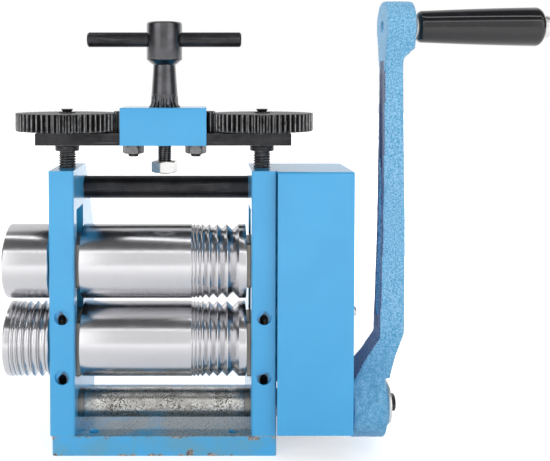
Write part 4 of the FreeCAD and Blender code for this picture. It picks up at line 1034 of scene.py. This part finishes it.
def frame_screws():
    """Socket screws of the tie bar's ends and under the base."""
    low, high, middle = box_of("tie_bar_screws")
    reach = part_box("tie_bar")[1].x - 16.0 * MM
    pair = [socket_screw("screw", "X", middle, side * high.x, side * (high.x - 8.0 * MM), side * reach,
                         6.5 * MM, 4.0 * MM, 6.0 * MM) for side in (-1, 1)]
    seat(joined("tie_bar_screws_cut", pair), black, "frame", "tie_bar_screws")
    low, high, middle = box_of("foot_screws")
    head = 5.0 * MM
    screw = socket_screw("foot_screw", "Z", Vector((0, 0, 0)), low.z, low.z + 6.0 * MM, high.z, head,
                         3.0 * MM, 5.0 * MM)
    places = [(x, y, 0) for x in (low.x + head, high.x - head) for y in (low.y + head, high.y - head)]
    seat(copies_at("foot_screws_cut", screw, places, seat_copies, black), black, "frame", "foot_screws")


def idler_fastenings():
    """Threaded pins of the idlers and the nuts under the crossbar."""
    low, high, middle = box_of("idler_pins")
    origin = Vector((0, 0, 0))
    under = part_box("crossbar")[0].z
    pin = joined("pin", [turned("pin_top", "Z", origin, [(under, PIN_RADIUS), (high.z, PIN_RADIUS)], 40),
                         threaded("pin_thread", origin, low.z, under, PIN_RADIUS, PIN_PITCH, 32)])
    crest_wear(pin, origin, low.z - 0.1 * MM, under - 0.1 * MM, PIN_RADIUS, PIN_PITCH)
    places = [(-pin_x(), middle.y, 0), (pin_x(), middle.y, 0)]
    seat(copies_at("idler_pins_cut", pin, places, seat_copies, black), black, "bridge", "idler_pins")
    low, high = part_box("idler_nuts")
    nut = hexagon_piece("nut", "Z", origin, low.z, high.z, 13.0 * MM, 0.03, PIN_RADIUS + 0.05 * MM)
    seat(copies_at("idler_nuts_cut", nut, places, seat_copies, grey), grey, "bridge", "idler_nuts")


def cover_fastenings():
    """Domed screws with a cross recess on the gear cover's outer side."""
    low, high, middle = box_of("cover_screws")
    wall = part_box("gear_cover")[1].x
    origin = Vector((0, 0, 0))
    radius = 3.6 * MM
    head = turned("head", "X", origin,
                  [(wall, radius), (wall + 1.2 * MM, radius), (wall + 2.4 * MM, radius * 0.78),
                   (wall + 3.0 * MM, radius * 0.4)], 48, ease=0.7 * MM)
    for across, along in ((0.55 * MM, 2.0 * MM), (2.0 * MM, 0.55 * MM)):
        cut(head, bar_tool("recess", (wall + 1.8 * MM, -across, -along), (wall + 4 * MM, across, along)))
    smooth_with_edges(head.data)
    shank = turned("shank", "X", origin, [(low.x, 1.95 * MM), (wall, 1.95 * MM)], 24)
    places = [(0, low.y + radius, middle.z), (0, high.y - radius, middle.z)]
    made = copies_at("cover_screws_cut", joined("screw", [head, shank]), places, seat_copies, zinc)
    seat(made, zinc, "frame", "cover_screws")


def crank_fastenings():
    """Washer and hexagon bolt on the crank's hub."""
    low, high, middle = box_of("crank_washer")
    washer = collar("crank_washer_pressed", "X", middle, low.x, high.x, 3.2 * MM, WASHER_RADIUS)
    seat(washer, zinc, "crank", "crank_washer")
    low, high, middle = box_of("crank_bolt")
    head = hexagon_piece("bolt_head", "X", middle, high.x - BOLT_HEAD, high.x, BOLT_FLATS, both_ends=False)
    shank = turned("bolt_shank", "X", middle,
                   [(low.x, BOLT_RADIUS), (high.x - BOLT_HEAD + 0.1 * MM, BOLT_RADIUS)], 32)
    seat(joined("crank_bolt_cut", [head, shank]), black, "crank", "crank_bolt")


def quarter(start, end, inner, outer):
    """Rounded end of a grip, from (start, inner) to (end, outer), outline points of a quarter turn."""
    points = []
    for step in range(7):
        angle = math.pi / 2 * step / 6
        points.append((start + (end - start) * (1 - math.cos(angle)), inner + (outer - inner) * math.sin(angle)))
    return points


def handle_parts():
    """The grip and its slotted spindle."""
    low, high, middle = box_of("handle_grip")
    small, large = 10.7 * MM, 13.1 * MM
    left, right = 3 * MM, 4 * MM
    bore = 4.1 * MM
    outline = [(low.x, bore), (low.x, small - left)] + quarter(low.x, low.x + left, small - left, small)
    rows = 10
    for row in range(1, rows):
        share = row / rows
        belly = 0.25 * MM * math.sin(math.pi * share)
        outline.append((low.x + left + (high.x - low.x - left - right) * share,
                        small + (large - small) * share + belly))
    outline += list(reversed(quarter(high.x, high.x - right, large - right, large))) + [(high.x, bore)]
    made = turned("handle_grip_polished", "X", middle, outline, 96, closed=True, ease=0.2 * MM)
    seat(made, grip_black, "grip", "handle_grip")
    grip_low, grip_high = low.x - 0.1 * MM, high.x + 0.2 * MM
    low, high, middle = box_of("handle_spindle")
    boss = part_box("crank_arm")[1].x
    thin, shoulder, head = 4.0 * MM, 7.0 * MM, 7.7 * MM
    outline = [(low.x, thin), (boss, thin), (boss, shoulder), (grip_low, shoulder), (grip_low, thin),
               (grip_high, thin), (grip_high, head), (high.x - 0.8 * MM, head), (high.x, head - 1.1 * MM)]
    pin = turned("handle_spindle_turned", "X", middle, outline, 72)
    cut(pin, bar_tool("slot", (high.x - 1.6 * MM, middle.y - 0.8 * MM, middle.z - 9 * MM),
                      (high.x + 1 * MM, middle.y + 0.8 * MM, middle.z + 9 * MM)))
    smooth_with_edges(pin.data)
    seat(pin, zinc, "crank", "handle_spindle")


def t_handle():
    """Turned handle whose pinion teeth run out into the tapering neck, its bar and the nut below."""
    low, high, middle = box_of("t_handle")
    teeth = 15
    sides = gear_angles(teeth)
    root, tip = sides[0][0], sides[-1][0]
    cover_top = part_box("bridge_cover")[1].z
    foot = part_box("left_idler_gear")[0].z
    lip = cover_top + 0.3 * MM
    flare = cover_top + 2.0 * MM
    runout = 9.0 * MM
    neck_top = high.z - 28.9 * MM
    hub_foot = high.z - 25.3 * MM
    wide, narrow, hub, stud_radius = 9.3 * MM, 7.5 * MM, 12.0 * MM, 5.0 * MM

    def body_radius(z):
        if z < lip:
            return tip
        if z < flare:
            return tip + (wide - tip) * (z - lip) / (flare - lip)
        return wide + (narrow - wide) * (z - flare) / (neck_top - flare)

    def tooth_radius(angle):
        part = abs((angle + math.pi / teeth) % (TURN / teeth) - math.pi / teeth)
        if part <= sides[-1][1]:
            return tip
        if part >= sides[0][1]:
            return root
        share = (part - sides[-1][1]) / (sides[0][1] - sides[-1][1])
        return tip + (root - tip) * share

    stations = [foot + (cover_top - foot) * step / 3 for step in range(4)] + [lip, cover_top + 1.2 * MM, flare]
    stations += [flare + runout * step / 12 for step in range(1, 13)]
    stations += [flare + runout + (neck_top - flare - runout) * step / 6 for step in range(1, 7)]
    rings = []
    for z in stations:
        floor = root + max(0.0, z - cover_top - 1.0 * MM) * (9.0 * MM - root) / runout
        rings.append(ring("Z", middle, z, lambda angle, height=z, low_radius=floor: min(
            body_radius(height), max(tooth_radius(angle), low_radius)), teeth * 14))
    hub_outline = [(neck_top, narrow), (hub_foot, hub), (high.z - 0.9 * MM, hub), (high.z, hub - 0.9 * MM)]
    for z, size in eased(hub_outline, 0.5 * MM)[1:]:
        rings.append(ring("Z", middle, z, lambda angle, radius=size: radius, teeth * 14))
    stud = threaded("t_handle_stud", middle, low.z, foot + 0.5 * MM, stud_radius, SPINDLE_PITCH)
    made = joined("t_handle_turned", [stud, from_rings("t_handle_body", rings)])
    smooth_with_edges(made.data, 30.0)
    crest_wear(made, middle, low.z - 0.1 * MM, foot, stud_radius, SPINDLE_PITCH)
    seat(made, black_bright, "handle_set", "t_handle")
    low, high, middle = box_of("t_handle_bar")
    radius, chamfer = (high.z - low.z) / 2, 1.0 * MM
    bar = turned("t_handle_bar_turned", "X", middle,
                 [(low.x, radius - chamfer), (low.x + chamfer, radius), (high.x - chamfer, radius),
                  (high.x, radius - chamfer)], 64, ease=0.25 * MM)
    seat(bar, black, "handle_set", "t_handle_bar")
    low, high, middle = box_of("spindle_nut")
    nut = hexagon_piece("spindle_nut_cut", "Z", Vector((0, middle.y, 0)), low.z, high.z, 16.0 * MM,
                        math.radians(14), stud_radius)
    seat(nut, zinc, "handle_set", "spindle_nut")


def lift_springs():
    """Coil springs between the bearing blocks."""
    wire, turns, round_steps, wire_steps = 0.8 * MM, 6, 24, 8
    for side in ("left", "right"):
        node = side + "_lift_spring"
        low, high, middle = box_of(node)
        coil = (high.x - low.x) / 2 - wire
        rings = []
        for step in range(turns * round_steps + 1):
            share = step / (turns * round_steps)
            angle = TURN * turns * share
            z = low.z + wire + (high.z - low.z - 2 * wire) * share
            out = Vector((math.cos(angle), math.sin(angle), 0))
            centre = Vector((middle.x, middle.y, z)) + out * coil
            row = []
            for part in range(wire_steps):
                turn = TURN * part / wire_steps
                row.append(tuple(centre + out * (wire * math.cos(turn)) + Vector((0, 0, wire * math.sin(turn)))))
            rings.append(row)
        made = from_rings(node + "_coiled", rings)
        made.data.materials.append(oiled)
        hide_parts(node)
        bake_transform(made)


def carried_over():
    """Materials of the CAD nodes that are shown as they are."""
    for entry in frame["record"]["subparts"]:
        node = frame["nodes"][entry["node"]]
        node.data.materials.clear()
        node.data.materials.append(FINISHES[entry["material_slot"]])


# Studio and camera

def grey_stops(tree, value, stops):
    """Grey level of a value, through (position, level) stops."""
    made = add_node(tree, "ShaderNodeValToRGB", links={"Fac": value})
    first, last = made.color_ramp.elements
    for element, (position, level) in ((first, stops[0]), (last, stops[-1])):
        element.position = position
        element.color = (level, level, level, 1)
    for position, level in stops[1:-1]:
        element = made.color_ramp.elements.new(position)
        element.color = (level, level, level, 1)
    return made.outputs["Color"]


def studio_floor():
    """Pale floor that glows white to the eye away from the object and keeps its shadow near it."""
    size = FLOOR_SIZE
    mesh = bpy.data.meshes.new("floor")
    mesh.from_pydata([(-size, -size, 0), (size, -size, 0), (size, size, 0), (-size, size, 0)], [],
                     [(0, 1, 2, 3)])
    floor = new_object("floor", mesh)
    made, shader = new_material("floor", (0.92, 0.92, 0.92), 0.0, 0.7)
    tree = made.node_tree
    path = add_node(tree, "ShaderNodeLightPath").outputs
    seen = math_of(tree, "MAXIMUM", path["Is Camera Ray"], path["Is Glossy Ray"])
    place = add_node(tree, "ShaderNodeTexCoord")
    distance = add_node(tree, "ShaderNodeVectorMath", "LENGTH", links={0: place.outputs["Object"]})
    near, far = FLOOR_FADE
    reach = add_node(tree, "ShaderNodeMapRange", None,
                     {"From Min": near, "From Max": far, "To Min": FLOOR_GLOW, "To Max": 1.0},
                     {"Value": distance.outputs["Value"]})
    reach.interpolation_type = "SMOOTHSTEP"
    shader.inputs["Emission Color"].default_value = (1.0, 1.0, 1.0, 1.0)
    tree.links.new(multiply(made, seen, reach.outputs["Result"]), shader.inputs["Emission Strength"])
    floor.data.materials.append(made)


def studio_world():
    """World that the camera sees as white, with a bright front, a dark ceiling and a pale back."""
    world = bpy.data.worlds.new("studio")
    bpy.context.scene.world = world
    world.use_nodes = True
    tree = world.node_tree
    place = add_node(tree, "ShaderNodeTexCoord")
    split = add_node(tree, "ShaderNodeSeparateXYZ", links={0: place.outputs["Generated"]}).outputs
    backwards = math_of(tree, "MULTIPLY", split["Y"], -1.0)
    angle = math_of(tree, "ARCTAN2", split["Z"], backwards)
    share = add_node(tree, "ShaderNodeMapRange", None, {"From Min": -math.pi, "From Max": math.pi},
                     {"Value": angle})
    sky = grey_stops(tree, share.outputs["Result"], [((degrees + 180) / 360, level) for degrees, level in SKY])
    aside = add_node(tree, "ShaderNodeMath", "ABSOLUTE", links={0: split["X"]})
    dim = math_of(tree, "MULTIPLY", grey_stops(tree, aside.outputs[0], SIDES), SKY_STRENGTH)
    seen = add_node(tree, "ShaderNodeLightPath").outputs["Is Camera Ray"]
    mix = tree.nodes.new("ShaderNodeMix")
    mix.data_type = "RGBA"
    tree.links.new(seen, mix.inputs["Factor"])
    tree.links.new(sky, mix.inputs[6])
    mix.inputs[7].default_value = (1.0, 1.0, 1.0, 1.0)
    level = add_node(tree, "ShaderNodeMix", None, {3: 1.0}, {0: seen, 2: dim})
    background = tree.nodes["Background"]
    tree.links.new(mix.outputs[2], background.inputs["Color"])
    tree.links.new(level.outputs[0], background.inputs["Strength"])


def studio():
    """Floor, world and two long soft lamps aimed at the middle of the machine."""
    studio_floor()
    studio_world()
    low, high = cad_bounds
    for name, place_at, width, depth, power in LAMPS:
        lamp = bpy.data.lights.new(name, "AREA")
        lamp.shape = "RECTANGLE"
        lamp.size = width
        lamp.size_y = depth
        lamp.energy = power
        holder = bpy.data.objects.new(name, lamp)
        bpy.context.scene.collection.objects.link(holder)
        holder.location = place_at
        holder.rotation_mode = "QUATERNION"
        holder.rotation_quaternion = ((low + high) / 2 - Vector(place_at)).to_track_quat("-Z", "Y")


def camera():
    """Camera at the photograph's place, level left to right and tipped slightly down."""
    frame_width, frame_height = PHOTO_SIZE
    data = bpy.data.cameras.new("camera")
    data.sensor_width = 36.0
    data.lens = FOCAL_PIXELS / frame_width * data.sensor_width
    data.shift_x = (frame_width / 2 - PHOTO_CENTRE[0]) / frame_width
    data.shift_y = (PHOTO_CENTRE[1] - frame_height / 2) / frame_width
    holder = bpy.data.objects.new("camera", data)
    bpy.context.scene.collection.objects.link(holder)
    holder.location = CAMERA_PLACE
    holder.rotation_euler = (math.radians(90 - CAMERA_TIP), 0.0, 0.0)
    bpy.context.scene.camera = holder


bpy.context.scene.view_settings.view_transform = "Standard"
camera()
studio()
carried_over()
rolls()
side_rolls()
shaft_and_bars()
plates()
crank_casting()
adjusting_train()
pressure_screws()
gear_fastenings()
frame_screws()
idler_fastenings()
cover_fastenings()
crank_fastenings()
handle_parts()
t_handle()
lift_springs()
